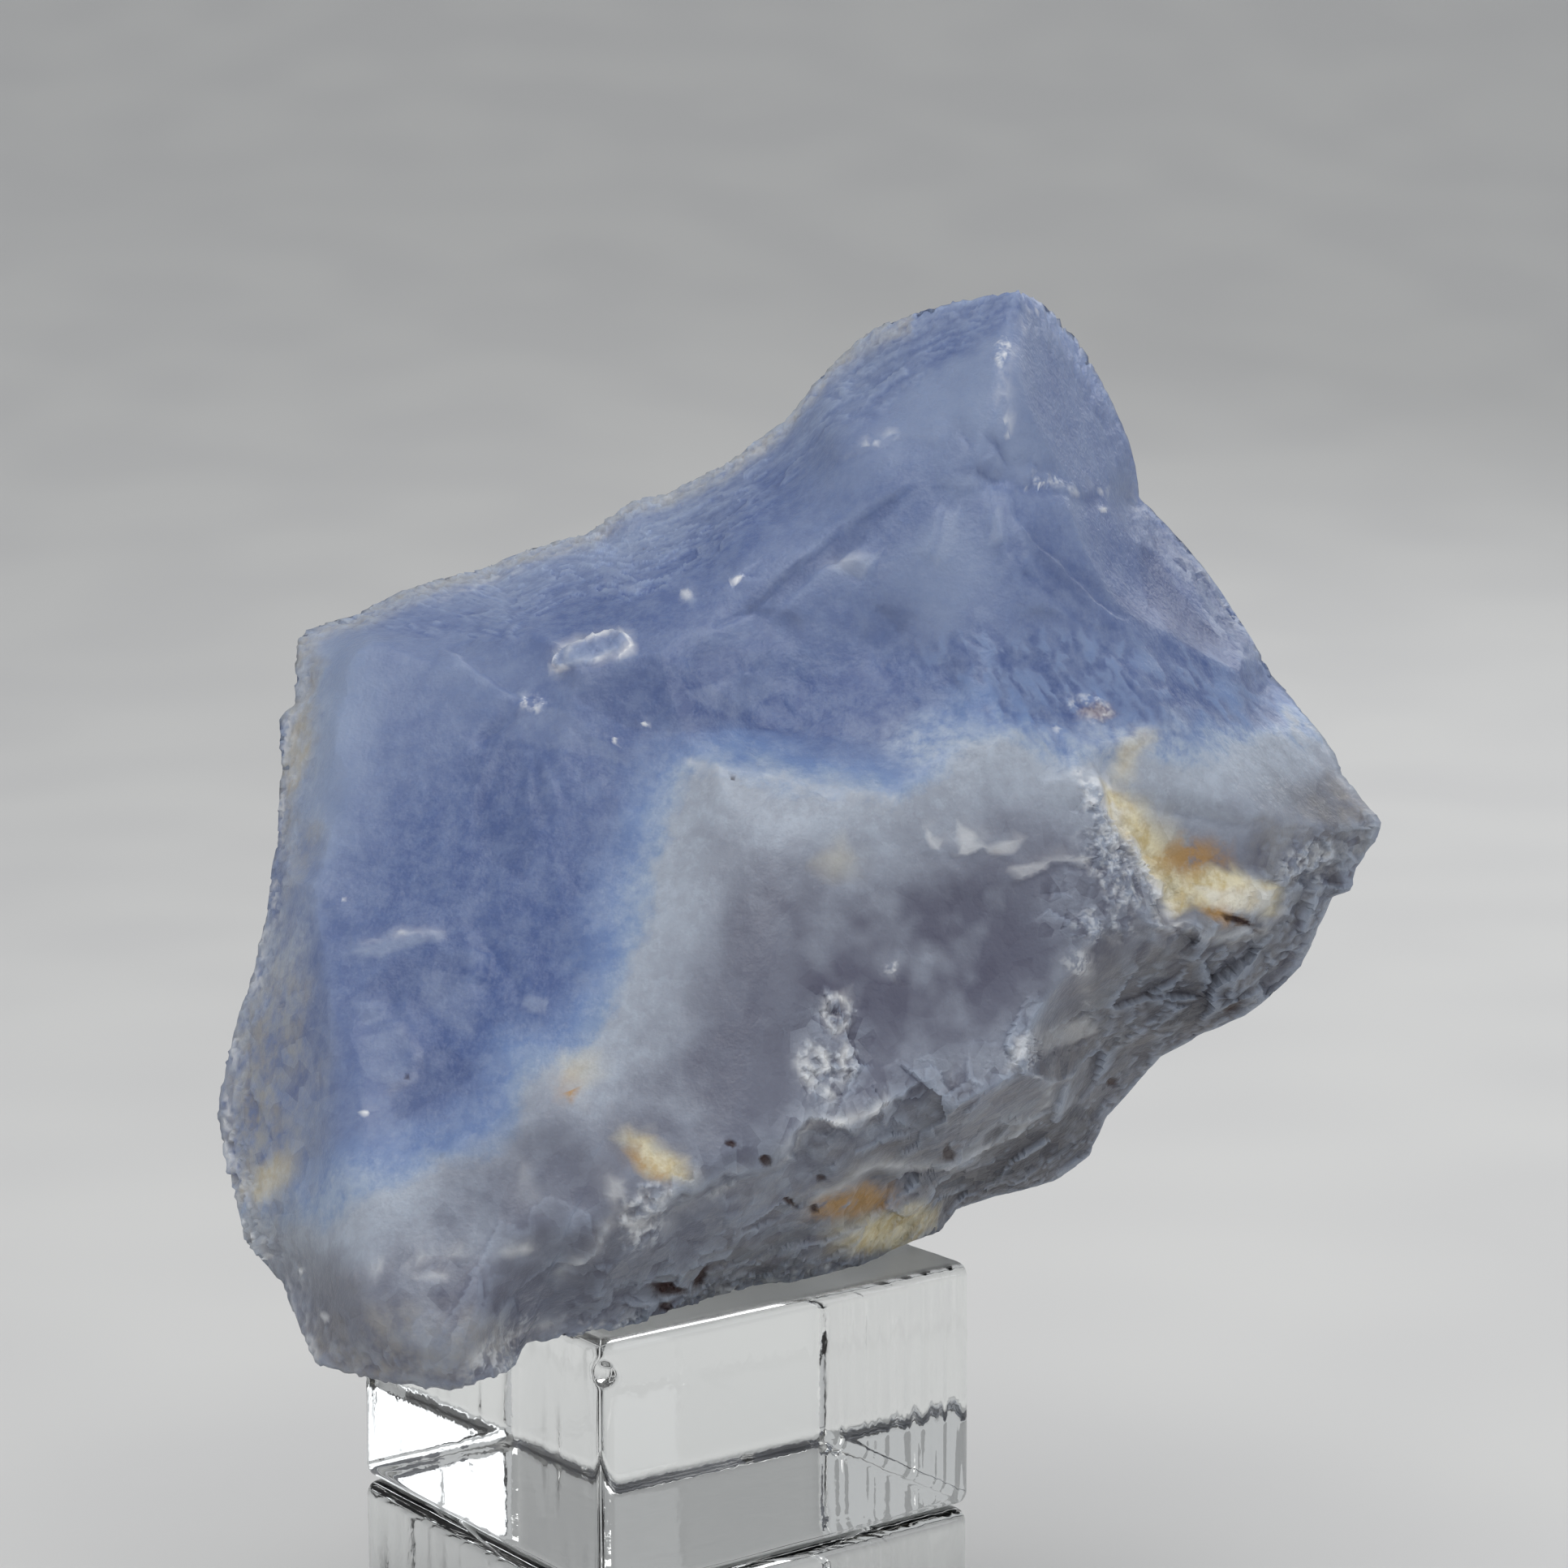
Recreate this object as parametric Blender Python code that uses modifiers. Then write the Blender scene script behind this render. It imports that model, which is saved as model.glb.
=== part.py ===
"""A rough chunk of blue agate standing on two clear display blocks, one stacked on the other.

Metres, +Z up, and the stone's broken face looks along -Y. The origin is the centre of the lower
block's underside. The stone is laid out the way a knapper sees it: its places are in millimetres
across and up as an eye in front of the stone sees them, on a plane through the stone's middle,
and a third number says how far the surface stands forward of that plane.
"""

from math import cos, pi, radians, sin

import bmesh
import bpy
import numpy as np
from mathutils import Matrix

MM = 0.001

# The two display blocks are alike: square, with worn edges, turned on the table.
BLOCK_SIDE = 32 * MM
BLOCK_HEIGHT = 18 * MM
BLOCK_TURN = radians(37)
BLOCK_EDGE = 1.0 * MM
BLOCK_EDGE_STEPS = 3
GAP = 0.3 * MM  # between pieces that rest on each other

STONE_FLOOR = 2 * (BLOCK_HEIGHT + GAP)

# The eye that the stone was laid out from, and the stone's middle, which it looks at.
EYE_DISTANCE = 245.5
EYE_PITCH = radians(7.9)
STONE_MIDDLE = (8.8 * MM, -2.4 * MM, STONE_FLOOR + 34.1 * MM)

STONE_STEPS = 7  # how often the starting ball is divided
FACETS_KEPT = 0.1  # share of the ball's triangles that the broken stone keeps

# The stone's outline, clockwise from the peak: across, up, forward.
OUTLINE = (
    (16.5, 34.7, 1), (18.5, 33.6, -2), (20.6, 31.3, -5), (22.8, 27.4, -7), (24.3, 24.1, -8),
    (24.9, 21.4, -9), (25.0, 20.2, -10), (27.6, 17.5, -13), (29.7, 15.0, -13), (31.7, 12.1, -12),
    (34.3, 7.7, -9), (36.7, 4.8, -6), (38.8, 2.1, -4), (39.3, 0.6, -3), (41.9, -2.7, -2),
    (41.8, -3.7, -2), (40.3, -5.9, -2), (39.7, -7.4, -2), (38.5, -7.8, -3), (37.5, -9.9, -4),
    (36.4, -12.8, -5), (35.1, -14.2, -6), (32.4, -16.3, -7), (29.6, -17.5, -8), (26.4, -19.2, -9),
    (24.5, -21.4, -11), (22.7, -23.4, -12), (21.4, -26.2, -13), (19.1, -27.9, -13),
    (14.8, -29.0, -13), (12.1, -29.9, -11), (11.1, -31.5, -10), (7.4, -33.2, -3.5),
    (3.8, -34.5, 1), (-1.8, -35.3, 4), (-6.0, -36.5, 8), (-8.3, -38.1, 13), (-12.8, -38.4, 15),
    (-16.4, -39.1, 17), (-18.2, -39.3, 18), (-19.3, -41.3, 25), (-23.2, -42.6, 28),
    (-28.0, -42.1, 27), (-32.9, -40.8, 24), (-33.9, -38.7, 21), (-35.3, -35.1, 18),
    (-37.9, -32.3, 15), (-38.5, -29.6, 13), (-39.8, -23.4, 10), (-38.9, -18.3, 8),
    (-37.3, -13.2, 7), (-36.4, -9.4, 6), (-35.6, -4.0, 4), (-35.3, 1.2, 2), (-35.6, 4.5, 0),
    (-34.3, 5.7, 0), (-34.2, 10.2, -2), (-33.5, 10.9, -3), (-30.2, 11.9, -5), (-27.2, 13.4, -6),
    (-21.2, 15.1, -7), (-13.9, 17.5, -8), (-10.3, 20.0, -8.5), (-8.1, 20.4, -9), (-3.8, 22.6, -9),
    (0.1, 25.5, -9), (4.3, 30.4, -8), (6.4, 32.1, -6), (9.9, 33.4, -4), (14.0, 34.2, -1),
)
OUTLINE_CENTRE = (-3.8, -1.9)  # every place of the outline is seen from here

# Places that the broken face passes through, with how far each stands forward.
FACE = (
    (4.8, -10.5, 20), (-3.8, -7.7, 20.5), (13.4, -7.7, 17), (1.9, -2.5, 18), (-6.1, -1.4, 17.5),
    (-0.9, 2.9, 12.5), (-0.9, 6.6, 9.5), (-6.6, 10.0, 9.5), (4.8, 15.2, 8), (7.7, 9.5, 8.5),
    (11.6, 18.6, 8), (16.2, 20.9, 7.5), (15.9, 29.5, 5), (7.7, 26.6, 2), (3.7, 24.9, 1),
    (-3.0, 17.8, 3), (-10.1, 12.6, 5.5), (-18.0, 9.8, 7), (-29.5, 9.8, 3.5), (-26.6, 3.8, 8),
    (-26.6, -7.7, 14), (-20.9, -1.9, 12.5), (-14.0, 2.1, 12.5), (-12.9, -4.8, 16),
    (-15.2, -13.4, 19), (-20.9, -19.1, 22), (-27.8, -19.1, 20.5), (-30.6, -27.6, 24),
    (-32.5, -16.3, 17), (-33.9, -10.2, 12.5), (-34.3, -4.8, 9), (-33.2, 3.8, 5),
    (-30.9, -36.5, 26), (-36.3, -24.8, 15.5), (-35.7, -31.1, 18.5), (-20.9, -30.5, 27),
    (-13.5, -30.5, 26.5), (-20.9, -37.9, 27.5), (-6.6, -27.1, 25.5), (-0.9, -24.5, 24.5),
    (4.8, -23.1, 22), (-3.8, -31.6, 18), (4.8, -30.2, 9), (-10.6, -35.6, 20),
    (13.4, -24.2, 15.5), (18.5, -20.8, 11.5), (16.8, -26.5, -4), (20.8, -13.4, 13),
    (24.8, -15.1, 5), (30.5, -14.2, 1), (21.9, 0.3, 12), (27.6, -5.4, 9), (33.9, -8.2, 4.5),
    (36.8, -1.9, 4), (28.2, 4.3, 6.5), (19.1, 6.6, 10), (12.8, 7.8, 11), (23.6, 14.0, 4),
    (21.9, 18.6, 3.5), (27.9, 13.5, -4), (31.6, 8.9, -2), (20.2, 26.6, 1), (12.2, -16.2, 18),
    (1.9, -16.8, 22.5),
)
# The hidden back, with how far each place stands behind the plane.
BACK = (
    (1.9, -7.7, 27), (-14.0, -1.9, 22), (19.1, -3.1, 21), (24.8, 8.3, 19), (15.1, 23.2, 12),
    (2.5, 14.0, 20), (-19.8, 6.1, 16), (-26.6, -7.7, 12), (-30.6, -23.6, 2), (-23.2, -30.5, 5),
    (-11.8, -24.8, 22), (4.8, -24.8, 25), (17.9, -20.8, 20), (29.3, -10.5, 13), (36.2, -4.2, 8),
    (15.1, 30.6, 6), (-3.8, -16.2, 26), (-6.1, 18.6, 13),
)
BEND = 1.5  # how softly the surface bends at each of these places
LEAST_THICKNESS = 1.0
EDGE_SHARPNESS = 60  # the face and the back close on the outline within about 1/60 of the way

# Ridges: height, reach to either side, and the places that they run through. A groove's height is below 0.
FACE_RIDGES = (
    (0.7, 3, ((-32, 10), (-26, 10), (-19, 10), (-15, 13), (-10, 13), (-6.5, 15), (-3, 18),
              (3.7, 25), (6.5, 26), (12, 30), (14, 31.5))),
    (1.2, 3, ((17, 34), (15.6, 31), (15.6, 26.6), (16, 22))),
    (0.9, 3, ((-33, 9.5), (-34.3, 2), (-34.4, -5), (-34, -10), (-32.5, -16), (-30.6, -27.6),
              (-31, -36.5), (-30, -41.5))),
    (-1.3, 3, ((-15.8, 6), (-10.8, 4), (-3.8, 3.4), (5.8, 3.4), (8.4, 4.2), (11, 6), (14, 8.6))),
    (0.9, 2.5, ((-9.5, -0.8), (-6.8, 1.3), (-1.2, 0.8), (1.4, 0), (7.5, -1), (12, 2), (18, 4))),
    (1.2, 2.5, ((25, 19.5), (25.4, 15), (26.8, 11), (29.6, 9))),
    (-0.7, 1.5, ((13.6, 22), (16, 21.4), (18.5, 21), (23, 20.4))),
)
# Ledges: height, reach, and places from end to end. The stone stands out on the left-hand side.
FACE_LEDGES = (
    (2.2, 5, ((-11, -31.5), (-8, -30), (-5, -29), (-2.7, -28), (-0.4, -27), (0.8, -25.5),
              (2.3, -24), (5, -24), (7.7, -22), (12, -20))),
    (2.2, 5, ((1.9, -29.3), (4.6, -28.3), (6.4, -27.2), (12.3, -27), (14.2, -25.8), (16.8, -24),
              (18.6, -22.5), (19, -20.8), (21.6, -18.5), (23, -15))),
    (1.6, 3, ((28.8, -11.4), (26.7, -9), (25.3, -6), (23.6, -2.7), (22, 0.2), (21, 2))),
    (1.5, 3, ((26, -10), (30.5, -11.2), (33.6, -10), (35.3, -7), (39.6, -5.5))),
    (1.0, 3, ((21.6, -16.8), (21.2, -15.6), (21.1, -11.4), (22, -9.4))),
)
LEDGE_EDGE = 0.5
# Scars of broken-off flakes: bite, half length, half width, turn in degrees, and middle.
FACE_SCARS = (
    (0.8, 18, 8.5, 82, (-26, -3)), (0.7, 16, 7, 62, (-17.5, -9)), (0.8, 6, 3, 15, (-19, 7)),
    (1.0, 13, 6.5, 18, (-2, 9.5)), (1.0, 9, 5, 48, (8, 15)), (0.8, 7, 4, 100, (13, 16)),
    (0.9, 8, 4.5, 35, (10, 26)), (1.2, 11, 5, -68, (20.3, 27)), (1.2, 9, 5, -42, (19.5, 15)),
    (1.8, 6.5, 2.4, -58, (27.6, 12.6)), (0.9, 9, 4.5, -40, (30.5, 5)), (0.9, 11, 5, -12, (20, 7)),
    (0.5, 13, 9, 60, (-7, -8)), (0.6, 13, 9, -20, (10, -7)), (0.5, 14, 8, 20, (4, -18)),
    (0.6, 12, 9, 35, (-12, -23)), (0.6, 10, 8, 10, (-24, -33)), (0.8, 12, 6, 70, (-24.5, -21)),
    (0.7, 15, 4, 82, (-36.6, -24)), (0.6, 8, 3, 95, (-34, 4)), (0.8, 9, 5, 32, (18, -26)),
    (0.8, 11, 4, 14, (0, -32)), (0.5, 12, 3, 14, (-21, 12.4)), (0.3, 9, 3, 38, (-1, 20)),
    (1.2, 6, 4.5, -50, (29.5, -4.5)), (0.8, 6, 3, -30, (36, -4)), (0.7, 6, 4, 30, (27, -14)),
)
BACK_RIDGES = (
    (1.5, 5, ((15, 33), (8, 20), (2, 12), (1, 0), (4, -12), (2, -24))),
    (1.2, 5, ((2, 12), (-12, 8), (-30, 4))),
    (1.2, 5, ((1, 0), (16, -2), (30, -1), (40, -3))),
)
BACK_LEDGES = (
    (1.8, 5, ((-8, -30), (-2, -20), (8, -17), (16, -10), (28, -12))),
    (1.5, 4, ((-30, -12), (-22, -4), (-10, -2), (-6, 8))),
)
BACK_SCARS = (
    (2.4, 19, 12, 50, (14, 12)), (2.0, 17, 10, -15, (-13, 7)), (2.0, 17, 12, 15, (-9, -11)),
    (2.0, 16, 11, 60, (15, -12)), (1.4, 12, 9, 20, (28, -3)), (1.2, 12, 8, 75, (15, 26)),
    (1.4, 14, 8, 80, (-28, -6)), (1.2, 13, 9, 60, (-26, -22)), (1.4, 18, 7, 5, (4, -23)),
    (0.9, 13, 7, 35, (0, 20)), (1.0, 11, 7, -40, (31, 7)), (1.0, 10, 8, 0, (0, 0)),
)
SCAR_WALL = 1.5  # how steeply a bowl turns up outside its own scar
LINE_END = 0.12  # share of a ridge or a ledge over which it rises at each end


def smooth_step(share):
    """0 up to 0, 1 from 1 on, and an even S between."""
    share = np.clip(share, 0, 1)
    return share * share * (3 - 2 * share)


def outline_reach(angle):
    """How far the outline is from its centre at each angle."""
    spokes = np.array(OUTLINE)[:, :2] - OUTLINE_CENTRE
    return np.interp(angle, np.arctan2(spokes[:, 1], spokes[:, 0]), np.hypot(*spokes.T), period=2 * pi)


def depth_through(knots, places):
    """The surface that passes through the knots: a sum of cones with rounded tips, one a knot."""
    knots = np.array(knots, float)
    spots = knots[:, :2]

    def cones(at):
        across, up = (at[:, None, :] - spots[None, :, :]).transpose(2, 0, 1)
        return np.sqrt(across**2 + up**2 + BEND**2)

    size = len(knots)
    balance = np.ones((size + 1, size + 1))
    balance[:size, :size] = cones(spots)
    balance[size, size] = 0
    weights = np.linalg.solve(balance, np.append(knots[:, 2], 0))
    return cones(places) @ weights[:size] + weights[size]


def beside_line(places, line):
    """Each place's distance from a bent line, its side (left is +1), and a taper to the line's ends."""
    line = np.array(line, float)
    runs = np.diff(line, axis=0)
    lengths = np.hypot(*runs.T)
    starts = np.append(0, np.cumsum(lengths))
    nearest = np.full(len(places), np.inf)
    side = np.ones(len(places))
    travelled = np.zeros(len(places))
    for start, run, length, before in zip(line, runs, lengths, starts):
        share = np.clip((places - start) @ run / length**2, 0, 1)
        off = places - start - share[:, None] * run
        distance = np.hypot(*off.T)
        closer = distance < nearest
        nearest = np.where(closer, distance, nearest)
        side = np.where(closer, np.sign(run[0] * off[:, 1] - run[1] * off[:, 0]), side)
        travelled = np.where(closer, before + share * length, travelled)
    share = travelled / starts[-1]
    return nearest, side, smooth_step(np.minimum(share, 1 - share) / LINE_END)


def broken_surface(places, knots, ridges, ledges, scars):
    """How far a broken surface stands out: a body through the knots, worked with ridges and ledges.

    Each scar then cuts the body with a shallow bowl that follows the body's own tilt there, so it
    has a crisp edge, and two scars that meet leave a ridge.
    """
    depth = depth_through(knots, places)
    for height, reach, line in ridges:
        distance, _, taper = beside_line(places, line)
        depth += height * taper * np.exp(-distance / reach)
    for height, reach, line in ledges:
        distance, side, taper = beside_line(places, line)
        depth += height * taper * side * np.tanh(distance / LEDGE_EDGE) * np.exp(-distance / reach)
    for bite, half_length, half_width, turn, middle in scars:
        long_way = np.array((cos(radians(turn)), sin(radians(turn))))
        wide_way = np.array((-long_way[1], long_way[0]))
        reaches = np.array((long_way * half_length, wide_way * half_width)) / 2
        ahead, aside, behind, beyond = depth_through(knots, middle + np.vstack((reaches, -reaches)))
        level = (ahead + aside + behind + beyond) / 4
        along = (places - middle) @ long_way / half_length
        across = (places - middle) @ wide_way / half_width
        bowl = level + (ahead - behind) * along + (aside - beyond) * across
        off_centre = along**2 + across**2
        walls = SCAR_WALL * np.maximum(off_centre - 1, 0) ** 2
        depth = np.minimum(depth, bowl + bite * (off_centre - 1) + walls)
    return depth


def stone_points(directions):
    """Where each direction of a unit ball lands on the stone, in millimetres from its middle.

    The ball's front half is spread over the face and its back half over the back, with equal
    shares of area, and both close on the outline at the ball's rim.
    """
    across, away, up = directions.T
    share = np.sqrt(1 - np.abs(away))
    angle = np.arctan2(up, across)
    spoke = np.column_stack((np.cos(angle), np.sin(angle)))
    places = OUTLINE_CENTRE + (share * outline_reach(angle))[:, None] * spoke
    turned_outline = tuple((side, height, -forward) for side, height, forward in OUTLINE)
    face = broken_surface(places, OUTLINE + FACE, FACE_RIDGES, FACE_LEDGES, FACE_SCARS)
    back = -broken_surface(places, turned_outline + BACK, BACK_RIDGES, BACK_LEDGES, BACK_SCARS)
    half = np.maximum(face - back, LEAST_THICKNESS) / 2 * (1 - share**EDGE_SHARPNESS)
    forward = (face + back) / 2 - np.sign(away) * half
    true_size = (EYE_DISTANCE - forward) / EYE_DISTANCE
    right = places[:, 0] * true_size
    rise = places[:, 1] * true_size
    return np.column_stack((
        right,
        rise * sin(EYE_PITCH) - forward * cos(EYE_PITCH),
        rise * cos(EYE_PITCH) + forward * sin(EYE_PITCH),
    ))


def finish(name, colour, roughness, transmission=0.0):
    """A material with a Principled shader of this colour."""
    material = bpy.data.materials.new(name)
    material.use_nodes = True
    shader = material.node_tree.nodes["Principled BSDF"]
    shader.inputs["Base Color"].default_value = (*colour, 1)
    shader.inputs["Roughness"].default_value = roughness
    shader.inputs["Metallic"].default_value = 0
    shader.inputs["Transmission Weight"].default_value = transmission
    return material


def add_piece(name, shape, collection, material):
    """A new object from a bmesh, in its collection, with its material."""
    mesh = bpy.data.meshes.new(name)
    shape.to_mesh(mesh)
    shape.free()
    mesh.materials.append(material)
    piece = bpy.data.objects.new(name, mesh)
    collection.objects.link(piece)
    return piece


def add_block(name, floor, collection, material):
    """A clear square block with rounded edges, standing on the height given."""
    shape = bmesh.new()
    bmesh.ops.create_cube(shape, size=1, matrix=Matrix.Diagonal((BLOCK_SIDE, BLOCK_SIDE, BLOCK_HEIGHT, 1)))
    block = add_piece(name, shape, collection, material)
    block.location = (0, 0, floor + BLOCK_HEIGHT / 2)
    block.rotation_euler = (0, 0, BLOCK_TURN)
    edge = block.modifiers.new("worn edges", "BEVEL")
    edge.width = BLOCK_EDGE
    edge.segments = BLOCK_EDGE_STEPS
    return block


def cut_flat(shape, height):
    """Cut a closed mesh off below this height, and close the cut."""
    whole = shape.verts[:] + shape.edges[:] + shape.faces[:]
    bmesh.ops.bisect_plane(shape, geom=whole, plane_co=(0, 0, height), plane_no=(0, 0, -1), clear_outer=True)
    rim = [edge for edge in shape.edges if edge.is_boundary]
    resting_faces = bmesh.ops.holes_fill(shape, edges=rim)["faces"]
    bmesh.ops.triangulate(shape, faces=resting_faces)


def add_stone(collection, material):
    """The agate: a finely divided ball moved onto the stone's form, cut flat below, thinned to facets."""
    shape = bmesh.new()
    bmesh.ops.create_icosphere(shape, subdivisions=STONE_STEPS, radius=1)
    directions = np.array([vertex.co for vertex in shape.verts])
    directions /= np.linalg.norm(directions, axis=1)[:, None]
    for vertex, point in zip(shape.verts, stone_points(directions) * MM):
        vertex.co = point
    cut_flat(shape, STONE_FLOOR - STONE_MIDDLE[2])
    stone = add_piece("agate", shape, collection, material)
    stone.location = STONE_MIDDLE
    facets = stone.modifiers.new("broken facets", "DECIMATE")
    facets.ratio = FACETS_KEPT
    return stone


for left_over in list(bpy.data.objects):
    bpy.data.objects.remove(left_over, do_unlink=True)

parts = bpy.data.collections.new("blue agate on clear blocks")
bpy.context.scene.collection.children.link(parts)
clear = finish("clear block", (0.95, 0.96, 0.94), 0.03, transmission=1.0)
blue_agate = finish("blue agate", (0.33, 0.39, 0.58), 0.42)

add_block("lower_block", 0, parts, clear)
add_block("upper_block", BLOCK_HEIGHT + GAP, parts, clear)
add_stone(parts, blue_agate)
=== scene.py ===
# %% [markdown]
# # A rough blue agate on two clear blocks
#
# The object is a chunk of blue chalcedony, the stone that agates are made of. It was broken with a
# hammer and never polished. It stands on two small clear blocks, one stacked on the other, the way
# a dealer shows a stone. This lesson builds the stone as one numpy surface, works its relief and
# its colours in with a handful of formulas, and then makes the blocks, the floor and the light.

# %% Open the frame
from math import cos, pi, radians, sin

import bpy
import numpy as np
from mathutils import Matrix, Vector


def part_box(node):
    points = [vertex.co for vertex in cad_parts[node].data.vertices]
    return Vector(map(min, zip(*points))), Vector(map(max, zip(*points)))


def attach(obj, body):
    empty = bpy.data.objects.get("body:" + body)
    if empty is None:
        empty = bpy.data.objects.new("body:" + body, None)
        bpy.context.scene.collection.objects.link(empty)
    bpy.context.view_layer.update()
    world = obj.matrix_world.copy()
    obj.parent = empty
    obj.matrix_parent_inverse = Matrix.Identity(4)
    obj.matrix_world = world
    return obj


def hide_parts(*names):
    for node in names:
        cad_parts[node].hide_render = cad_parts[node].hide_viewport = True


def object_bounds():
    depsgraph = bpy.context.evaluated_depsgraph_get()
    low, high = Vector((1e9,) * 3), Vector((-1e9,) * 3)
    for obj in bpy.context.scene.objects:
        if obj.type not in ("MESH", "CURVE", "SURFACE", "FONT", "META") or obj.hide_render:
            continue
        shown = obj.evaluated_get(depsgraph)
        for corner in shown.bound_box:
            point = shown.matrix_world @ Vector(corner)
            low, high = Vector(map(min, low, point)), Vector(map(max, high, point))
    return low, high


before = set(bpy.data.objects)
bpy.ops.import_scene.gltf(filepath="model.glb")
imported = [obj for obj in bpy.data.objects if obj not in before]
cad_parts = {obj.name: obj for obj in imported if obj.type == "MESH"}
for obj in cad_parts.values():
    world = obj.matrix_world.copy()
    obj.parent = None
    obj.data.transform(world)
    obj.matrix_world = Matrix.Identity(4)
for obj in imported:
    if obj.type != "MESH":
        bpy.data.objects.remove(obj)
solid_low, solid_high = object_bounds()
print("solid model:", [round(high - low, 4) for low, high in zip(solid_low, solid_high)], "m")

# %% [markdown]
# ## Measures
#
# The stone is drawn as it is seen: its places are in millimetres across and up, on a plane through
# its middle, for an eye 245.5 mm away that looks down by 7.9 degrees. The camera later stands where
# that eye is. The stone's floor, which is the top of the blocks, is read from the frame, so the
# detailed stone rests where the plain solid does.

# %% Measures
MM = 0.001
EYE_DISTANCE = 245.5
EYE_PITCH = radians(7.9)
STONE_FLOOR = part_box("agate")[0].z
STONE_MIDDLE = np.array((8.8 * MM, -2.4 * MM, STONE_FLOOR + 34.1 * MM))
BLOCK_SIDE = 32 * MM
BLOCK_TURN = radians(37)
BLOCK_EDGE = 1.0 * MM
print("stone floor:", round(STONE_FLOOR, 4), "m")

# %% [markdown]
# ## Random but repeatable: noise and rubble
#
# A natural surface needs irregular detail. Two formulas make nearly all of it. Noise takes random
# values on a cubic lattice and blends between them, which gives soft swells. Rubble scatters seeds,
# finds the nearest seed to each point, and takes the height of that seed's own tilted plane, which
# gives flat little faces with sharp steps between them: the way that crystalline quartz breaks.
# Both start from a fixed seed number, so each run gives the same stone.

# %% Noise and rubble
TABLE = 61  # lattice cells before the random values repeat


def smooth_step(share):
    """0 up to 0, 1 from 1 on, and an even S between."""
    share = np.clip(share, 0, 1)
    return share * share * (3 - 2 * share)


def noise(points, size, seed):
    """Swells between -1 and 1: random lattice values, blended along an S from corner to corner."""
    values = np.random.default_rng(seed).uniform(-1, 1, (TABLE,) * 3)
    scaled = points / size
    cell = np.floor(scaled).astype(int)
    share = smooth_step(scaled - cell)
    ends = (1 - share).T, share.T
    total = np.zeros(len(points))
    for corner in np.ndindex(2, 2, 2):
        weight = ends[corner[0]][0] * ends[corner[1]][1] * ends[corner[2]][2]
        total += weight * values[tuple(((cell + corner) % TABLE).T)]
    return total


def rough_noise(points, size, seed, octaves=3):
    """Noise on top of noise: each layer has half the size and 0.55 of the height of the last."""
    layers = range(octaves)
    return sum(0.55**layer * noise(points, size / 2**layer, seed + layer) for layer in layers)


def rubble(points, size, seed):
    """Broken lumps: each point takes the tilted plane and the level of the nearest scattered seed."""
    randoms = np.random.default_rng(seed)
    jitter = randoms.uniform(0.1, 0.9, (TABLE, TABLE, TABLE, 3))
    tilt = randoms.normal(0, 0.8, (TABLE, TABLE, TABLE, 3))
    level = randoms.uniform(-0.5, 0.5, (TABLE, TABLE, TABLE))
    scaled = points / size
    cell = np.floor(scaled).astype(int)
    nearest = np.full(len(points), np.inf)
    height = np.zeros(len(points))
    for step in np.ndindex(3, 3, 3):
        spot = cell + np.array(step) - 1
        index = tuple((spot % TABLE).T)
        away = scaled - spot - jitter[index]
        distance = (away**2).sum(axis=1)
        closer = distance < nearest
        nearest[closer] = distance[closer]
        height[closer] = (away * tilt[index]).sum(axis=1)[closer] + level[index][closer]
    return height


sample = np.random.default_rng(1).uniform(-20, 20, (2000, 3))
print("noise reaches", round(float(np.abs(noise(sample, 2, 5)).max()), 2))
print("rubble reaches", round(float(np.abs(rubble(sample, 2, 5)).max()), 2))

# %% [markdown]
# ## The stone's form
#
# A broken stone has no plan to follow, so its form is given by places that its surface passes
# through. The outline is what the eye sees against the background. The face and the back are two
# height fields inside it. Each is a sum of cones with rounded tips, one a place, with weights
# solved so that the surface meets every place: a gentle body without bumps in between. The same
# places shape the solid model, so the two agree.

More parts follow.
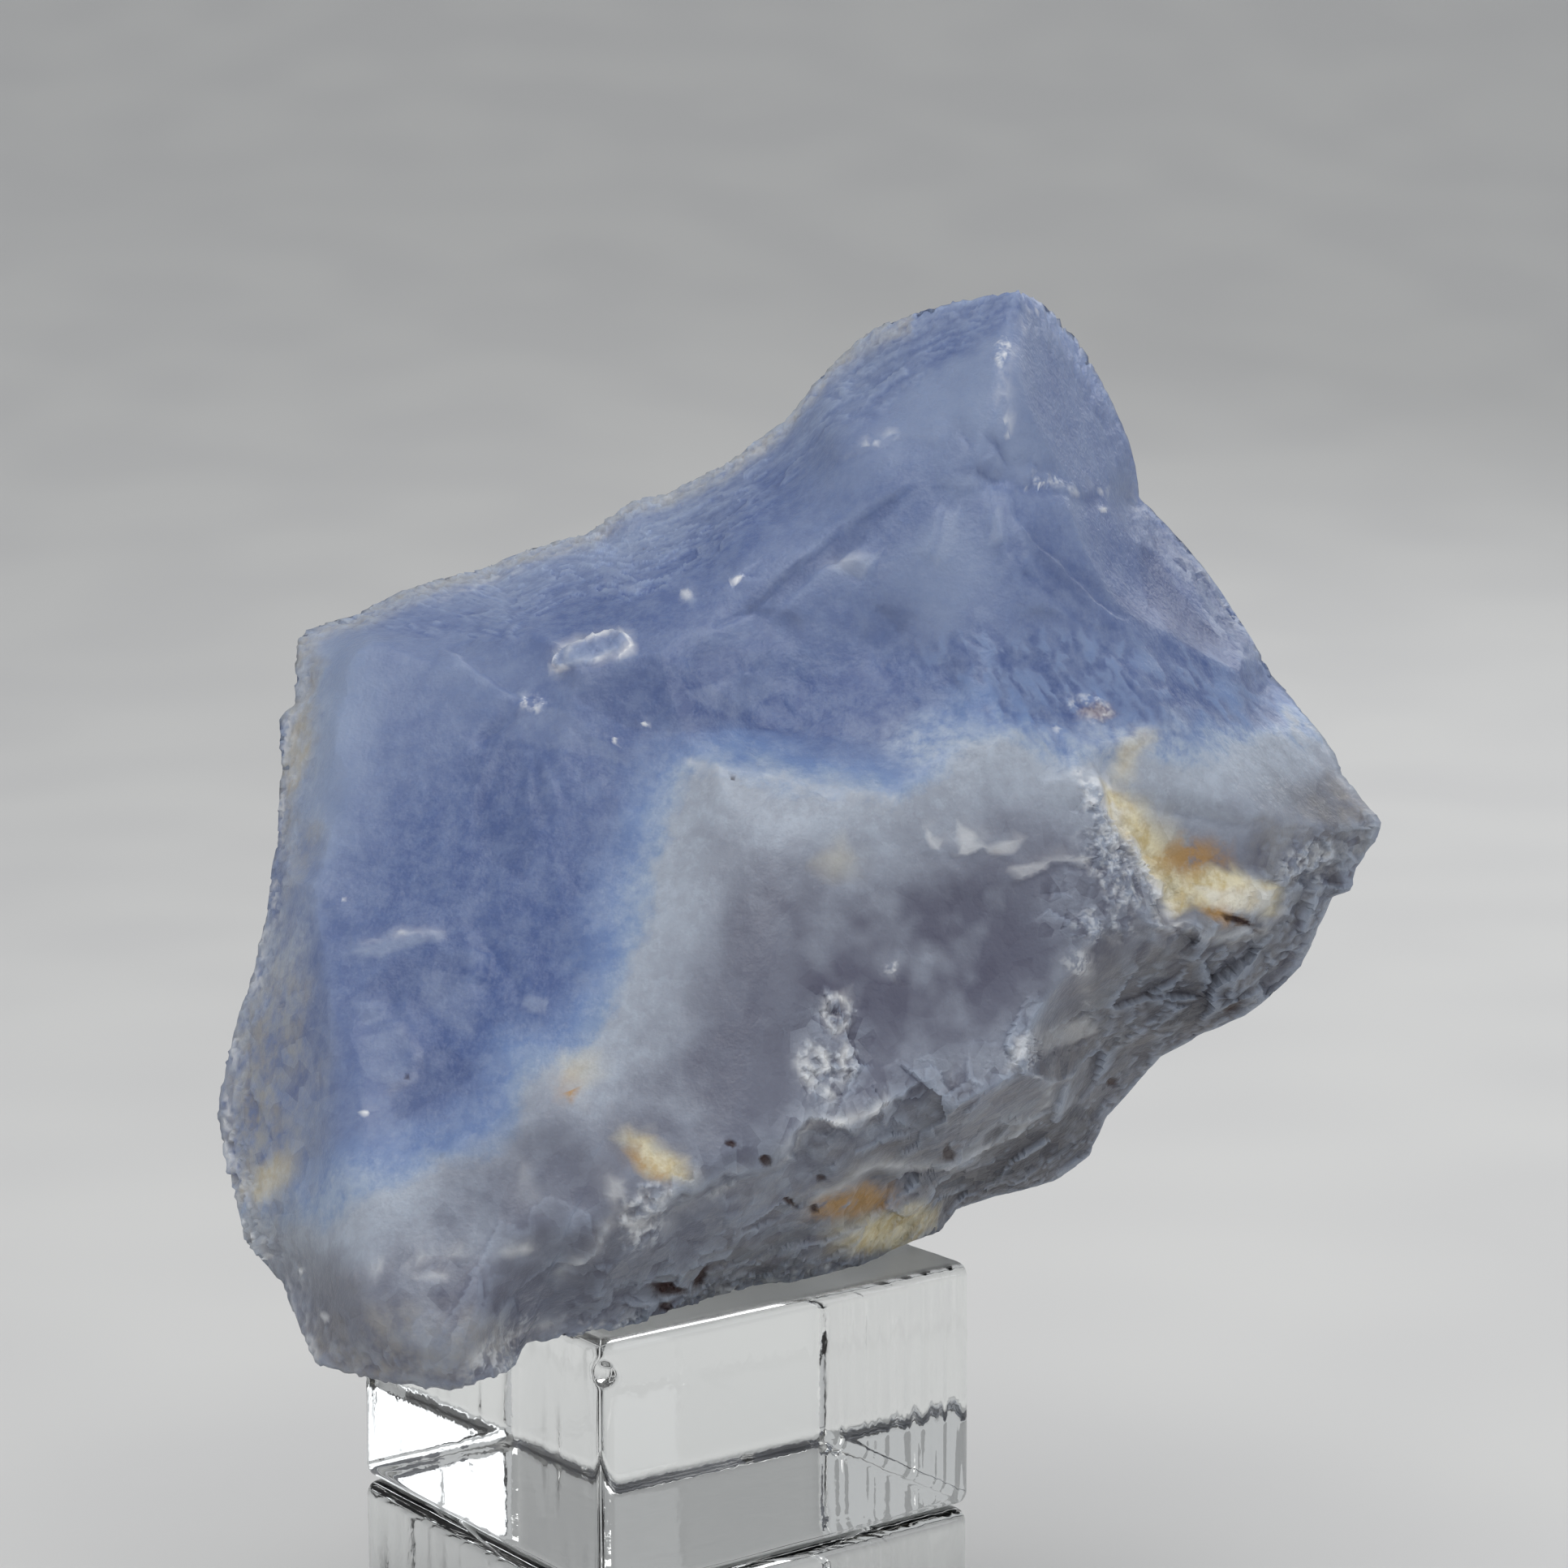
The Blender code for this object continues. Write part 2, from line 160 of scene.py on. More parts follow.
# %% Outline, face and back
# The outline, clockwise from the peak: across, up, forward.
OUTLINE = (
    (16.5, 34.7, 1), (18.5, 33.6, -2), (20.6, 31.3, -5), (22.8, 27.4, -7), (24.3, 24.1, -8),
    (24.9, 21.4, -9), (25.0, 20.2, -10), (27.6, 17.5, -13), (29.7, 15.0, -13), (31.7, 12.1, -12),
    (34.3, 7.7, -9), (36.7, 4.8, -6), (38.8, 2.1, -4), (39.3, 0.6, -3), (41.9, -2.7, -2),
    (41.8, -3.7, -2), (40.3, -5.9, -2), (39.7, -7.4, -2), (38.5, -7.8, -3), (37.5, -9.9, -4),
    (36.4, -12.8, -5), (35.1, -14.2, -6), (32.4, -16.3, -7), (29.6, -17.5, -8), (26.4, -19.2, -9),
    (24.5, -21.4, -11), (22.7, -23.4, -12), (21.4, -26.2, -13), (19.1, -27.9, -13),
    (14.8, -29.0, -13), (12.1, -29.9, -11), (11.1, -31.5, -10), (7.4, -33.2, -3.5),
    (3.8, -34.5, 1), (-1.8, -35.3, 4), (-6.0, -36.5, 8), (-8.3, -38.1, 13), (-12.8, -38.4, 15),
    (-16.4, -39.1, 17), (-18.2, -39.3, 18), (-19.3, -41.3, 25), (-23.2, -42.6, 28),
    (-28.0, -42.1, 27), (-32.9, -40.8, 24), (-33.9, -38.7, 21), (-35.3, -35.1, 18),
    (-37.9, -32.3, 15), (-38.5, -29.6, 13), (-39.8, -23.4, 10), (-38.9, -18.3, 8),
    (-37.3, -13.2, 7), (-36.4, -9.4, 6), (-35.6, -4.0, 4), (-35.3, 1.2, 2), (-35.6, 4.5, 0),
    (-34.3, 5.7, 0), (-34.2, 10.2, -2), (-33.5, 10.9, -3), (-30.2, 11.9, -5), (-27.2, 13.4, -6),
    (-21.2, 15.1, -7), (-13.9, 17.5, -8), (-10.3, 20.0, -8.5), (-8.1, 20.4, -9), (-3.8, 22.6, -9),
    (0.1, 25.5, -9), (4.3, 30.4, -8), (6.4, 32.1, -6), (9.9, 33.4, -4), (14.0, 34.2, -1),
)
OUTLINE_CENTRE = (-3.8, -1.9)  # every place of the outline is seen from here

# Places that the broken face passes through, with how far each stands forward.
FACE = (
    (4.8, -10.5, 20), (-3.8, -7.7, 20.5), (13.4, -7.7, 17), (1.9, -2.5, 18), (-6.1, -1.4, 17.5),
    (-0.9, 2.9, 12.5), (-0.9, 6.6, 9.5), (-6.6, 10.0, 9.5), (4.8, 15.2, 8), (7.7, 9.5, 8.5),
    (11.6, 18.6, 8), (16.2, 20.9, 7.5), (15.9, 29.5, 5), (7.7, 26.6, 2), (3.7, 24.9, 1),
    (-3.0, 17.8, 3), (-10.1, 12.6, 5.5), (-18.0, 9.8, 7), (-29.5, 9.8, 3.5), (-26.6, 3.8, 8),
    (-26.6, -7.7, 14), (-20.9, -1.9, 12.5), (-14.0, 2.1, 12.5), (-12.9, -4.8, 16),
    (-15.2, -13.4, 19), (-20.9, -19.1, 22), (-27.8, -19.1, 20.5), (-30.6, -27.6, 24),
    (-32.5, -16.3, 17), (-33.9, -10.2, 12.5), (-34.3, -4.8, 9), (-33.2, 3.8, 5),
    (-30.9, -36.5, 26), (-36.3, -24.8, 15.5), (-35.7, -31.1, 18.5), (-20.9, -30.5, 27),
    (-13.5, -30.5, 26.5), (-20.9, -37.9, 27.5), (-6.6, -27.1, 25.5), (-0.9, -24.5, 24.5),
    (4.8, -23.1, 22), (-3.8, -31.6, 18), (4.8, -30.2, 9), (-10.6, -35.6, 20),
    (13.4, -24.2, 15.5), (18.5, -20.8, 11.5), (16.8, -26.5, -4), (20.8, -13.4, 13),
    (24.8, -15.1, 5), (30.5, -14.2, 1), (21.9, 0.3, 12), (27.6, -5.4, 9), (33.9, -8.2, 4.5),
    (36.8, -1.9, 4), (28.2, 4.3, 6.5), (19.1, 6.6, 10), (12.8, 7.8, 11), (23.6, 14.0, 4),
    (21.9, 18.6, 3.5), (27.9, 13.5, -4), (31.6, 8.9, -2), (20.2, 26.6, 1), (12.2, -16.2, 18),
    (1.9, -16.8, 22.5),
)
# The hidden back, with how far each place stands behind the plane.
BACK = (
    (1.9, -7.7, 27), (-14.0, -1.9, 22), (19.1, -3.1, 21), (24.8, 8.3, 19), (15.1, 23.2, 12),
    (2.5, 14.0, 20), (-19.8, 6.1, 16), (-26.6, -7.7, 12), (-30.6, -23.6, 2), (-23.2, -30.5, 5),
    (-11.8, -24.8, 22), (4.8, -24.8, 25), (17.9, -20.8, 20), (29.3, -10.5, 13), (36.2, -4.2, 8),
    (15.1, 30.6, 6), (-3.8, -16.2, 26), (-6.1, 18.6, 13),
)
BEND = 1.5  # how softly the surface bends at each of these places
LEAST_THICKNESS = 1.0
EDGE_SHARPNESS = 60  # the face and the back close on the outline within about 1/60 of the way
BATCH = 20000  # places worked out at a time, which keeps the memory small


def outline_reach(angle):
    """How far the outline is from its centre at each angle."""
    spokes = np.array(OUTLINE)[:, :2] - OUTLINE_CENTRE
    return np.interp(angle, np.arctan2(spokes[:, 1], spokes[:, 0]), np.hypot(*spokes.T), period=2 * pi)


def depth_through(knots, places):
    """The surface that passes through the knots: a sum of cones with rounded tips, one a knot."""
    knots = np.array(knots, float)
    spots = knots[:, :2]

    def cones(at):
        """Every knot's cone at these places: the distance from the knot, rounded near it."""
        across, up = (at[:, None, :] - spots[None, :, :]).transpose(2, 0, 1)
        return np.sqrt(across**2 + up**2 + BEND**2)

    size = len(knots)
    balance = np.ones((size + 1, size + 1))
    balance[:size, :size] = cones(spots)
    balance[size, size] = 0
    weights = np.linalg.solve(balance, np.append(knots[:, 2], 0))
    batches = np.array_split(places, len(places) // BATCH + 1)
    return np.concatenate([cones(batch) @ weights[:size] + weights[size] for batch in batches])


print("outline", len(OUTLINE), "places, face", len(FACE), "and back", len(BACK))

# %% [markdown]
# ## Ridges, ledges and flake scars
#
# Chalcedony breaks like thick glass. Each blow leaves a shallow bowl with a crisp edge, two bowls
# meet in a ridge, and a crack that changes level leaves a ledge. These are added to the smooth
# body: a ridge is a cusp along a bent line, a ledge is a step along one, and a scar is a tilted
# bowl that the surface is cut down to. Cutting with the lower of two heights is what keeps the
# edges sharp.

# %% Ridges, ledges and scars
# Ridges: height, reach to either side, and the places that they run through. A groove's height is below 0.
FACE_RIDGES = (
    (0.7, 3, ((-32, 10), (-26, 10), (-19, 10), (-15, 13), (-10, 13), (-6.5, 15), (-3, 18),
              (3.7, 25), (6.5, 26), (12, 30), (14, 31.5))),
    (0.4, 3, ((17, 34), (15.6, 31), (15.6, 26.6), (16, 22))),
    (0.6, 3, ((-33, 9.5), (-34.3, 2), (-34.4, -5), (-34, -10), (-32.5, -16), (-30.6, -27.6),
              (-31, -36.5), (-30, -41.5))),
    (-0.9, 3, ((-15.8, 6), (-10.8, 4), (-3.8, 3.4), (5.8, 3.4), (8.4, 4.2), (11, 6), (14, 8.6))),
    (0.9, 2.5, ((-9.5, -0.8), (-6.8, 1.3), (-1.2, 0.8), (1.4, 0), (7.5, -1), (12, 2), (18, 4))),
    (1.2, 2.5, ((25, 19.5), (25.4, 15), (26.8, 11), (29.6, 9))),
    (-0.7, 1.5, ((13.6, 22), (16, 21.4), (18.5, 21), (23, 20.4))),
)
# Ledges: height, reach, and places from end to end. The stone stands out on the left-hand side.
FACE_LEDGES = (
    (2.2, 5, ((-11, -31.5), (-8, -30), (-5, -29), (-2.7, -28), (-0.4, -27), (0.8, -25.5),
              (2.3, -24), (5, -24), (7.7, -22), (12, -20))),
    (2.2, 5, ((1.9, -29.3), (4.6, -28.3), (6.4, -27.2), (12.3, -27), (14.2, -25.8), (16.8, -24),
              (18.6, -22.5), (19, -20.8), (21.6, -18.5), (23, -15))),
    (1.6, 3, ((28.8, -11.4), (26.7, -9), (25.3, -6), (23.6, -2.7), (22, 0.2), (21, 2))),
    (1.5, 3, ((26, -10), (30.5, -11.2), (33.6, -10), (35.3, -7), (39.6, -5.5))),
    (1.0, 3, ((21.6, -16.8), (21.2, -15.6), (21.1, -11.4), (22, -9.4))),
)
LEDGE_EDGE = 0.3
# Scars of broken-off flakes: bite, half length, half width, turn in degrees, and middle.
FACE_SCARS = (
    (0.5, 18, 8.5, 82, (-26, -3)), (0.4, 16, 7, 62, (-17.5, -9)),
    (0.35, 6, 3.2, 20, (-5.5, 8)), (0.8, 11, 5, -68, (20.3, 27)),
    (0.3, 8, 4, -42, (20, 15.5)), (1.2, 4.8, 2.2, -58, (28.2, 12.0)), (0.7, 9, 4.5, -40, (30.5, 5)),
    (0.2, 9, 3.4, -12, (20, 8)), (0.35, 13, 9, 60, (-7, -8)), (0.5, 13, 9, -20, (10, -7)),
    (0.5, 14, 8, 20, (4, -18)), (0.6, 12, 9, 35, (-12, -23)), (0.6, 10, 8, 10, (-24, -33)),
    (0.7, 12, 6, 70, (-24.5, -21)), (0.7, 15, 4, 82, (-36.6, -24)), (0.4, 8, 3, 95, (-34, 4)),
    (0.8, 9, 5, 32, (18, -26)), (0.8, 11, 4, 14, (0, -32)),
    (1.2, 6, 4.5, -50, (29.5, -4.5)), (0.8, 6, 3, -30, (36, -4)), (0.7, 6, 4, 30, (27, -14)),
)
BACK_RIDGES = (
    (1.5, 5, ((15, 33), (8, 20), (2, 12), (1, 0), (4, -12), (2, -24))),
    (1.2, 5, ((2, 12), (-12, 8), (-30, 4))),
    (1.2, 5, ((1, 0), (16, -2), (30, -1), (40, -3))),
)
BACK_LEDGES = (
    (1.8, 5, ((-8, -30), (-2, -20), (8, -17), (16, -10), (28, -12))),
    (1.5, 4, ((-30, -12), (-22, -4), (-10, -2), (-6, 8))),
)
BACK_SCARS = (
    (2.4, 19, 12, 50, (14, 12)), (2.0, 17, 10, -15, (-13, 7)), (2.0, 17, 12, 15, (-9, -11)),
    (2.0, 16, 11, 60, (15, -12)), (1.4, 12, 9, 20, (28, -3)), (1.2, 12, 8, 75, (15, 26)),
    (1.4, 14, 8, 80, (-28, -6)), (1.2, 13, 9, 60, (-26, -22)), (1.4, 18, 7, 5, (4, -23)),
    (0.9, 13, 7, 35, (0, 20)), (1.0, 11, 7, -40, (31, 7)), (1.0, 10, 8, 0, (0, 0)),
)
SCAR_WALL = 1.5  # how steeply a bowl turns up outside its own scar
LINE_END = 0.12  # share of a ridge or a ledge over which it rises at each end
SHARP_CORNER = 0.06  # millimetres that a scar's edge is rounded by
SOFT_CORNER = 0.9  # the same in the milky part, which broke in gentler swells


def beside_line(places, line):
    """Each place's distance from a bent line, its side (left is +1), and the length travelled.

    For every run of the line the place is dropped onto it at a right angle, held between the run's
    ends, and the nearest of these feet counts. The line's whole length comes last.
    """
    line = np.array(line, float)
    runs = np.diff(line, axis=0)
    lengths = np.hypot(*runs.T)
    starts = np.append(0, np.cumsum(lengths))
    nearest = np.full(len(places), np.inf)
    side = np.ones(len(places))
    travelled = np.zeros(len(places))
    for start, run, length, before in zip(line, runs, lengths, starts):
        share = np.clip((places - start) @ run / length**2, 0, 1)
        off = places - start - share[:, None] * run
        distance = np.hypot(*off.T)
        closer = distance < nearest
        nearest = np.where(closer, distance, nearest)
        side = np.where(closer, np.sign(run[0] * off[:, 1] - run[1] * off[:, 0]), side)
        travelled = np.where(closer, before + share * length, travelled)
    return nearest, side, travelled, starts[-1]


def line_cusp(places, height, reach, line):
    """A ridge: height times the fading power of the distance, tapered to the line's two ends."""
    distance, _, travelled, length = beside_line(places, line)
    share = travelled / length
    return height * smooth_step(np.minimum(share, 1 - share) / LINE_END) * np.exp(-distance / reach)


def line_step(places, height, reach, line, edge=LEDGE_EDGE):
    """A ledge: up on the left and down on the right of the line, fading with the distance."""
    distance, side, travelled, length = beside_line(places, line)
    share = travelled / length
    taper = smooth_step(np.minimum(share, 1 - share) / LINE_END)
    return height * taper * side * np.tanh(distance / edge) * np.exp(-distance / reach)


def fray(places, reach, size, seed):
    """Places pushed sideways by noise, up to about reach millimetres, so that no line stays clean."""
    flat = np.column_stack((places, np.zeros(len(places))))
    across = rough_noise(flat, size, seed)
    up = rough_noise(flat, size, seed + 5)
    return places + reach * np.column_stack((across, up))


def broken_surface(places, knots, ridges, ledges, scars):
    """How far a broken surface stands out: the body through the knots, worked and then cut by bowls.

    A bowl is bite times (a squared + b squared - 1), where a and b count half lengths and half
    widths from its middle, on a plane that tilts as the body does there. The lower of body and
    bowl is taken with its corner rounded: half the softness where the two are equal.
    """
    depth = depth_through(knots, places)
    # The milky part lies low, to the right of a leaning line, and at the foot.
    below = smooth_step(0.5 - places[:, 1] / 6)
    to_right = smooth_step(1.25 + (places[:, 0] - places[:, 1] / 2) / 8)
    foot = smooth_step((-24 - places[:, 1]) / 4)
    softness = SHARP_CORNER + (SOFT_CORNER - SHARP_CORNER) * np.maximum(below * to_right, foot)
    frayed = fray(places, reach=0.7, size=2.4, seed=21)
    for ridge in ridges:
        depth += line_cusp(frayed, *ridge)
    for ledge in ledges:
        depth += line_step(frayed, *ledge)
    for bite, half_length, half_width, turn, middle in scars:
        long_way = np.array((cos(radians(turn)), sin(radians(turn))))
        wide_way = np.array((-long_way[1], long_way[0]))
        reaches = np.array((long_way * half_length, wide_way * half_width)) / 2
        ahead, aside, behind, beyond = depth_through(knots, middle + np.vstack((reaches, -reaches)))
        level = (ahead + aside + behind + beyond) / 4
        along = (places - middle) @ long_way / half_length
        across = (places - middle) @ wide_way / half_width
        bowl = level + (ahead - behind) * along + (aside - beyond) * across
        off_centre = along**2 + across**2
        walls = SCAR_WALL * np.maximum(off_centre - 1, 0) ** 2
        cut = bowl + bite * (off_centre - 1) + walls
        mixed = np.clip(0.5 + (cut - depth) / (2 * softness), 0, 1)
        depth = cut + (depth - cut) * mixed - softness * mixed * (1 - mixed)
    return depth


print("face:", len(FACE_RIDGES), "ridges,", len(FACE_LEDGES), "ledges,", len(FACE_SCARS), "scars")

# %% [markdown]
# ## A square net wound into a disc
#
# The two height fields need one closed skin. A round net of rings and spokes would crowd its middle
# with slivers, so a square net is used, and each of its square rings is bent to a circle. The net
# is laid over the stone's outline twice, once for the face and once for the back, and the two share
# the points on the outline, which closes the seam.

# %% Lay the net over the outline
NET = 400  # cells along each side of the square net


def wound_net(cells):
    """The square net's places: share of the way to the outline, and angle.

    A point of the square keeps its ring, the larger of its two coordinates, and its place along
    the ring's side becomes its angle within that quarter.
    """
    side = np.linspace(-1, 1, cells + 1)
    across, up = np.meshgrid(side, side)
    share = np.maximum(np.abs(across), np.abs(up))
    with np.errstate(divide="ignore", invalid="ignore"):
        flat = pi / 4 * up / across + np.where(across < 0, pi, 0)
        steep = np.sign(up) * pi / 2 - pi / 4 * across / up
    angle = np.nan_to_num(np.where(np.abs(across) >= np.abs(up), flat, steep))
    return share.ravel(), angle.ravel()


share, angle = wound_net(NET)
spoke = np.column_stack((np.cos(angle), np.sin(angle)))
places = OUTLINE_CENTRE + (share * outline_reach(angle))[:, None] * spoke
print("net:", len(places), "places,", round(float(np.ptp(places[:, 0])), 1), "mm across")

# %% [markdown]
# ## Raise the face and the back
#
# Every place of the net now gets its two heights. They are drawn as an eye sees them, so a point
# that stands nearer looks larger than it is, and the eye looks down a little. Both are undone here:
# a place shrinks by how near it stands, and is then tipped by the eye's pitch. Close to the outline
# the two heights run together, and everywhere else they stay at least a millimetre apart.

# %% Raise the face and the back


def as_seen_to_true(places, forward):
    """Millimetres from the stone's middle for places as seen: nearer points shrink, then all tip."""
    true_size = (EYE_DISTANCE - forward) / EYE_DISTANCE
    rise = places[:, 1] * true_size
    return np.column_stack((
        places[:, 0] * true_size,
        rise * sin(EYE_PITCH) - forward * cos(EYE_PITCH),
        rise * cos(EYE_PITCH) + forward * sin(EYE_PITCH),
    ))


turned_outline = tuple((side, height, -forward) for side, height, forward in OUTLINE)
face = broken_surface(places, OUTLINE + FACE, FACE_RIDGES, FACE_LEDGES, FACE_SCARS)
back = -broken_surface(places, turned_outline + BACK, BACK_RIDGES, BACK_LEDGES, BACK_SCARS)
back = np.minimum(back, face - LEAST_THICKNESS)
half = (face - back) / 2 * (1 - share**EDGE_SHARPNESS)
face_points = as_seen_to_true(places, (face + back) / 2 + half)
back_points = as_seen_to_true(places, (face + back) / 2 - half)
print("thickest:", round(float(2 * half.max()), 1), "mm")

# %% [markdown]
# ## Sew the skin together
#
# The face's faces run anticlockwise as the eye sees them, so they point at the eye, and the back's
# run the other way. The back's border points are left out and the face's are used in their place,
# so each border edge has exactly two faces.

# %% Sew the skin


def sew(cells):
    """Indices of the skin's quads, and which of the back's points are its own."""
    number = np.arange((cells + 1) ** 2).reshape(cells + 1, cells + 1)
    inside = np.zeros((cells + 1, cells + 1), bool)
    inside[1:-1, 1:-1] = True
    behind = number.copy()
    behind[inside] = number.size + np.arange(inside.sum())

    def quads(net):
        """The four corners of each cell, anticlockwise."""
        return np.stack((net[:-1, :-1], net[:-1, 1:], net[1:, 1:], net[1:, :-1]), axis=-1).reshape(-1, 4)

    return np.vstack((quads(number), quads(behind)[:, ::-1])), inside.ravel()


def skin_mesh(name, points, quads):
    """A smooth-shaded mesh from an array of points and an array of quads."""
    mesh = bpy.data.meshes.new(name)
    mesh.vertices.add(len(points))
    mesh.vertices.foreach_set("co", np.ascontiguousarray(points, np.float32).ravel())
    mesh.loops.add(quads.size)
    mesh.loops.foreach_set("vertex_index", quads.astype(np.int32).ravel())
    mesh.polygons.add(len(quads))
    mesh.polygons.foreach_set("loop_start", np.arange(0, quads.size, 4, dtype=np.int32))
    mesh.polygons.foreach_set("use_smooth", np.ones(len(quads), bool))
    mesh.update(calc_edges=True)
    return mesh


def normals_of(mesh):
    """Each vertex's outward direction."""
    found = np.empty(len(mesh.vertices) * 3, np.float32)
    mesh.vertex_normals.foreach_get("vector", found)
    return found.reshape(-1, 3).astype(float)


skin_quads, own_back = sew(NET)
skin_points = np.vstack((face_points, back_points[own_back]))
skin_places = np.vstack((places, places[own_back]))
on_face = np.arange(len(skin_points)) < len(face_points)
to_rim = np.append(share, share[own_back])
stone_mesh = skin_mesh("agate", skin_points, skin_quads)
outward = normals_of(stone_mesh)
print("skin:", len(skin_points), "points,", len(skin_quads), "quads")

# %% [markdown]
# ## Where each texture lies
#
# The face has several kinds of break. The middle is smooth, the upper left edge is streaky, a
# feathery zone runs above the milky part, and the lower edge and the far sides are crystalline
# rubble. Each kind gets a strength from 0 to 1 at every point. Most are patches: soft ellipses whose
# borders are pushed about by noise, so that no ellipse shows. On the hidden back the rubble comes
# and goes with a slow noise.

# %% Patches of texture
# Patches: strength, half length, half width, turn in degrees, and middle.
RUBBLE_PATCHES = (
    (0.3, 9, 6, 20, (-19, -33)), (0.5, 14, 4.5, 82, (-37, -27)), (0.3, 9, 2.2, 92, (-34.6, 3)),
    (0.35, 9, 4, -10, (-25, -39)), (0.9, 14, 4.5, 14, (-1, -34)), (0.5, 6, 5, 60, (-11, -33)),
    (1.0, 13, 5, 32, (17, -27)), (1.0, 12, 5, 38, (29, -15)), (1.0, 6, 4, 30, (38, -7)),
    (0.9, 4, 3.2, 80, (2.8, -19.5)), (0.7, 11, 2.5, 22, (-1.5, -26.5)),
    (0.9, 4, 2.5, 40, (17.3, -18.5)), (0.8, 6, 1.8, -62, (23.8, -5.5)), (0.7, 6, 3, 25, (9, -23)),
    (0.6, 4, 3, 40, (21.5, -8.5)), (0.5, 6, 1.6, -50, (31.2, 12.3)),
)
# The streaky band lies above this line, from left to right.
BAND_LINE = (
    (-40, 9), (-33, 10.9), (-26, 10.5), (-19, 10.1), (-14.9, 13.1), (-10.1, 12.9), (-7.8, 14),
    (-4.7, 16.1), (-0.7, 19.8), (3.7, 25.1), (6.6, 25.8), (10.3, 29.1), (14.2, 31.5), (20, 36),
)
FEATHER_PATCHES = (
    (1.0, 11, 2.8, -3, (20, 8.0)), (0.9, 8, 2.5, -16, (31, 5.5)), (0.7, 9, 2.2, -4, (22, 4.6)),
)
BAND_EDGE = 1.2  # millimetres over which the band begins

# Two noises, across and up, that push each border about.
push = np.column_stack((rough_noise(skin_points, 3, 300, 4), rough_noise(skin_points, 3, 310, 4)))


def patches(listed, border=0.35, ragged=0.9):
    """The strongest patch at each point: whole inside its ellipse, fading across its border.

    The places are first pushed about by noise, ragged millimetres far, which frays the borders.
    """
    pushed = skin_places + ragged * push
    strongest = np.zeros(len(pushed))
    for strength, half_length, half_width, turn, middle in listed:
        long_way = np.array((cos(radians(turn)), sin(radians(turn))))
        wide_way = np.array((-long_way[1], long_way[0]))
        along = (pushed - middle) @ long_way / half_length
        across = (pushed - middle) @ wide_way / half_width
        inside = 1 - smooth_step((np.hypot(along, across) - 1 + border) / (2 * border))
        strongest = np.maximum(strongest, strength * inside)
    return strongest


band_distance, band_side, band_travelled, _ = beside_line(skin_places, BAND_LINE)
band = smooth_step(0.5 + band_side * band_distance / BAND_EDGE)
band = np.where(on_face, band, 0.5 * smooth_step((noise(skin_points, 16, 61) + 0.2) / 0.4))
feather = np.where(on_face, patches(FEATHER_PATCHES, 0.5), 0)
rough = patches(RUBBLE_PATCHES)
back_rough = 0.1 + 0.45 * smooth_step(0.5 + 1.6 * noise(skin_points, 14, 31))
near_rim = smooth_step((to_rim - 0.93) / 0.05)
rim_rough = 0.3 * near_rim * (skin_places[:, 0] < 8)
rough = np.where(on_face, np.maximum(rough, rim_rough), back_rough)
for name, strength in (("band", band), ("feather", feather), ("rubble", rough)):
    print(name, "covers", round(100 * float(strength.mean())), "% of the skin")

# %% [markdown]
# ## Fine relief: flakes, feathers and ribs
#
# The fine relief is one height for every point, in millimetres along the surface's own direction. It
# starts with a slight unevenness everywhere. Along the upper edge the stone split into thin flakes,
# each of which ends in a sudden drop. Above the milky part it shows feathery ripples, and faint ribs
# fan out from where a blow landed, as they do in glass. All three are noise on bent coordinates,
# stretched along the way that the pattern runs. The same flakes and ripples colour the stone later,
# deeper blue where they are low and paler where they are high: partly their own streaks and partly
# painted shade and light that agree with the relief.

# %% Flakes, feathers and ribs
# Fans of ribs: height, ribs in one radian, reach, the place that the blow landed on, and the
# direction and half angle in degrees that the ribs spread over.
FANS = (
    (0.15, 8, 17, (-18.5, 6.5), -75, 60), (0.22, 6, 9, (13.5, 23), -95, 50), (0.12, 9, 10, (-4, 12), -70, 40),
    (0.1, 8, 12, (-36, -4), -30, 35),
)


def fan(places, height, ribs, reach, blow, towards, spread, seed):
    """Ribs that spread from one place: noise over angle and distance, within a sector, fading out."""
    off = places - blow
    distance = np.hypot(*off.T)
    turn = np.arctan2(off[:, 1], off[:, 0])
    aside = np.abs((turn - radians(towards) + pi) % (2 * pi) - pi)
    ribbed = np.column_stack((turn * ribs, distance / 7, np.zeros(len(places))))
    fade = smooth_step((distance - 1.5) / 4) * np.exp(-((distance / reach) ** 2))
    sector = 1 - smooth_step((aside / radians(spread) - 0.5) / 0.5)
    return height * fade * sector * rough_noise(ribbed, 1, seed, 2)


def flaking(along, across, seed):
    """Thin flakes drawn out along the upper edge, each ending in a sudden small drop.

    Noise is stretched along the band, and leans a little down to the right. What is left of it
    after its whole steps are taken away rises slowly and drops at once, as a flake's end does.
    """
    leaning = (band_distance + 0.22 * band_travelled) / across
    drawn = np.column_stack((band_travelled / along, leaning, skin_points[:, 1] / 9))
    count = 1.6 * rough_noise(drawn, 1, seed, 3)
    return count - np.floor(count) - 0.5


def feathers(places, seed):
    """Ripples that stand upright at the left and lean over to the right of the feathery zone."""
    lean = 0.4 + 0.5 * smooth_step((places[:, 0] - 12) / 20)
    bent = places[:, 0] + lean * places[:, 1] + 0.6 * push[:, 0]
    drawn = np.column_stack((bent / 0.55, (places[:, 1] + 0.6 * push[:, 1]) / 1.2, lean))
    return rough_noise(drawn, 1, seed, 3)


calm = (1 - rough) * (1 - feather) * (1 - band)
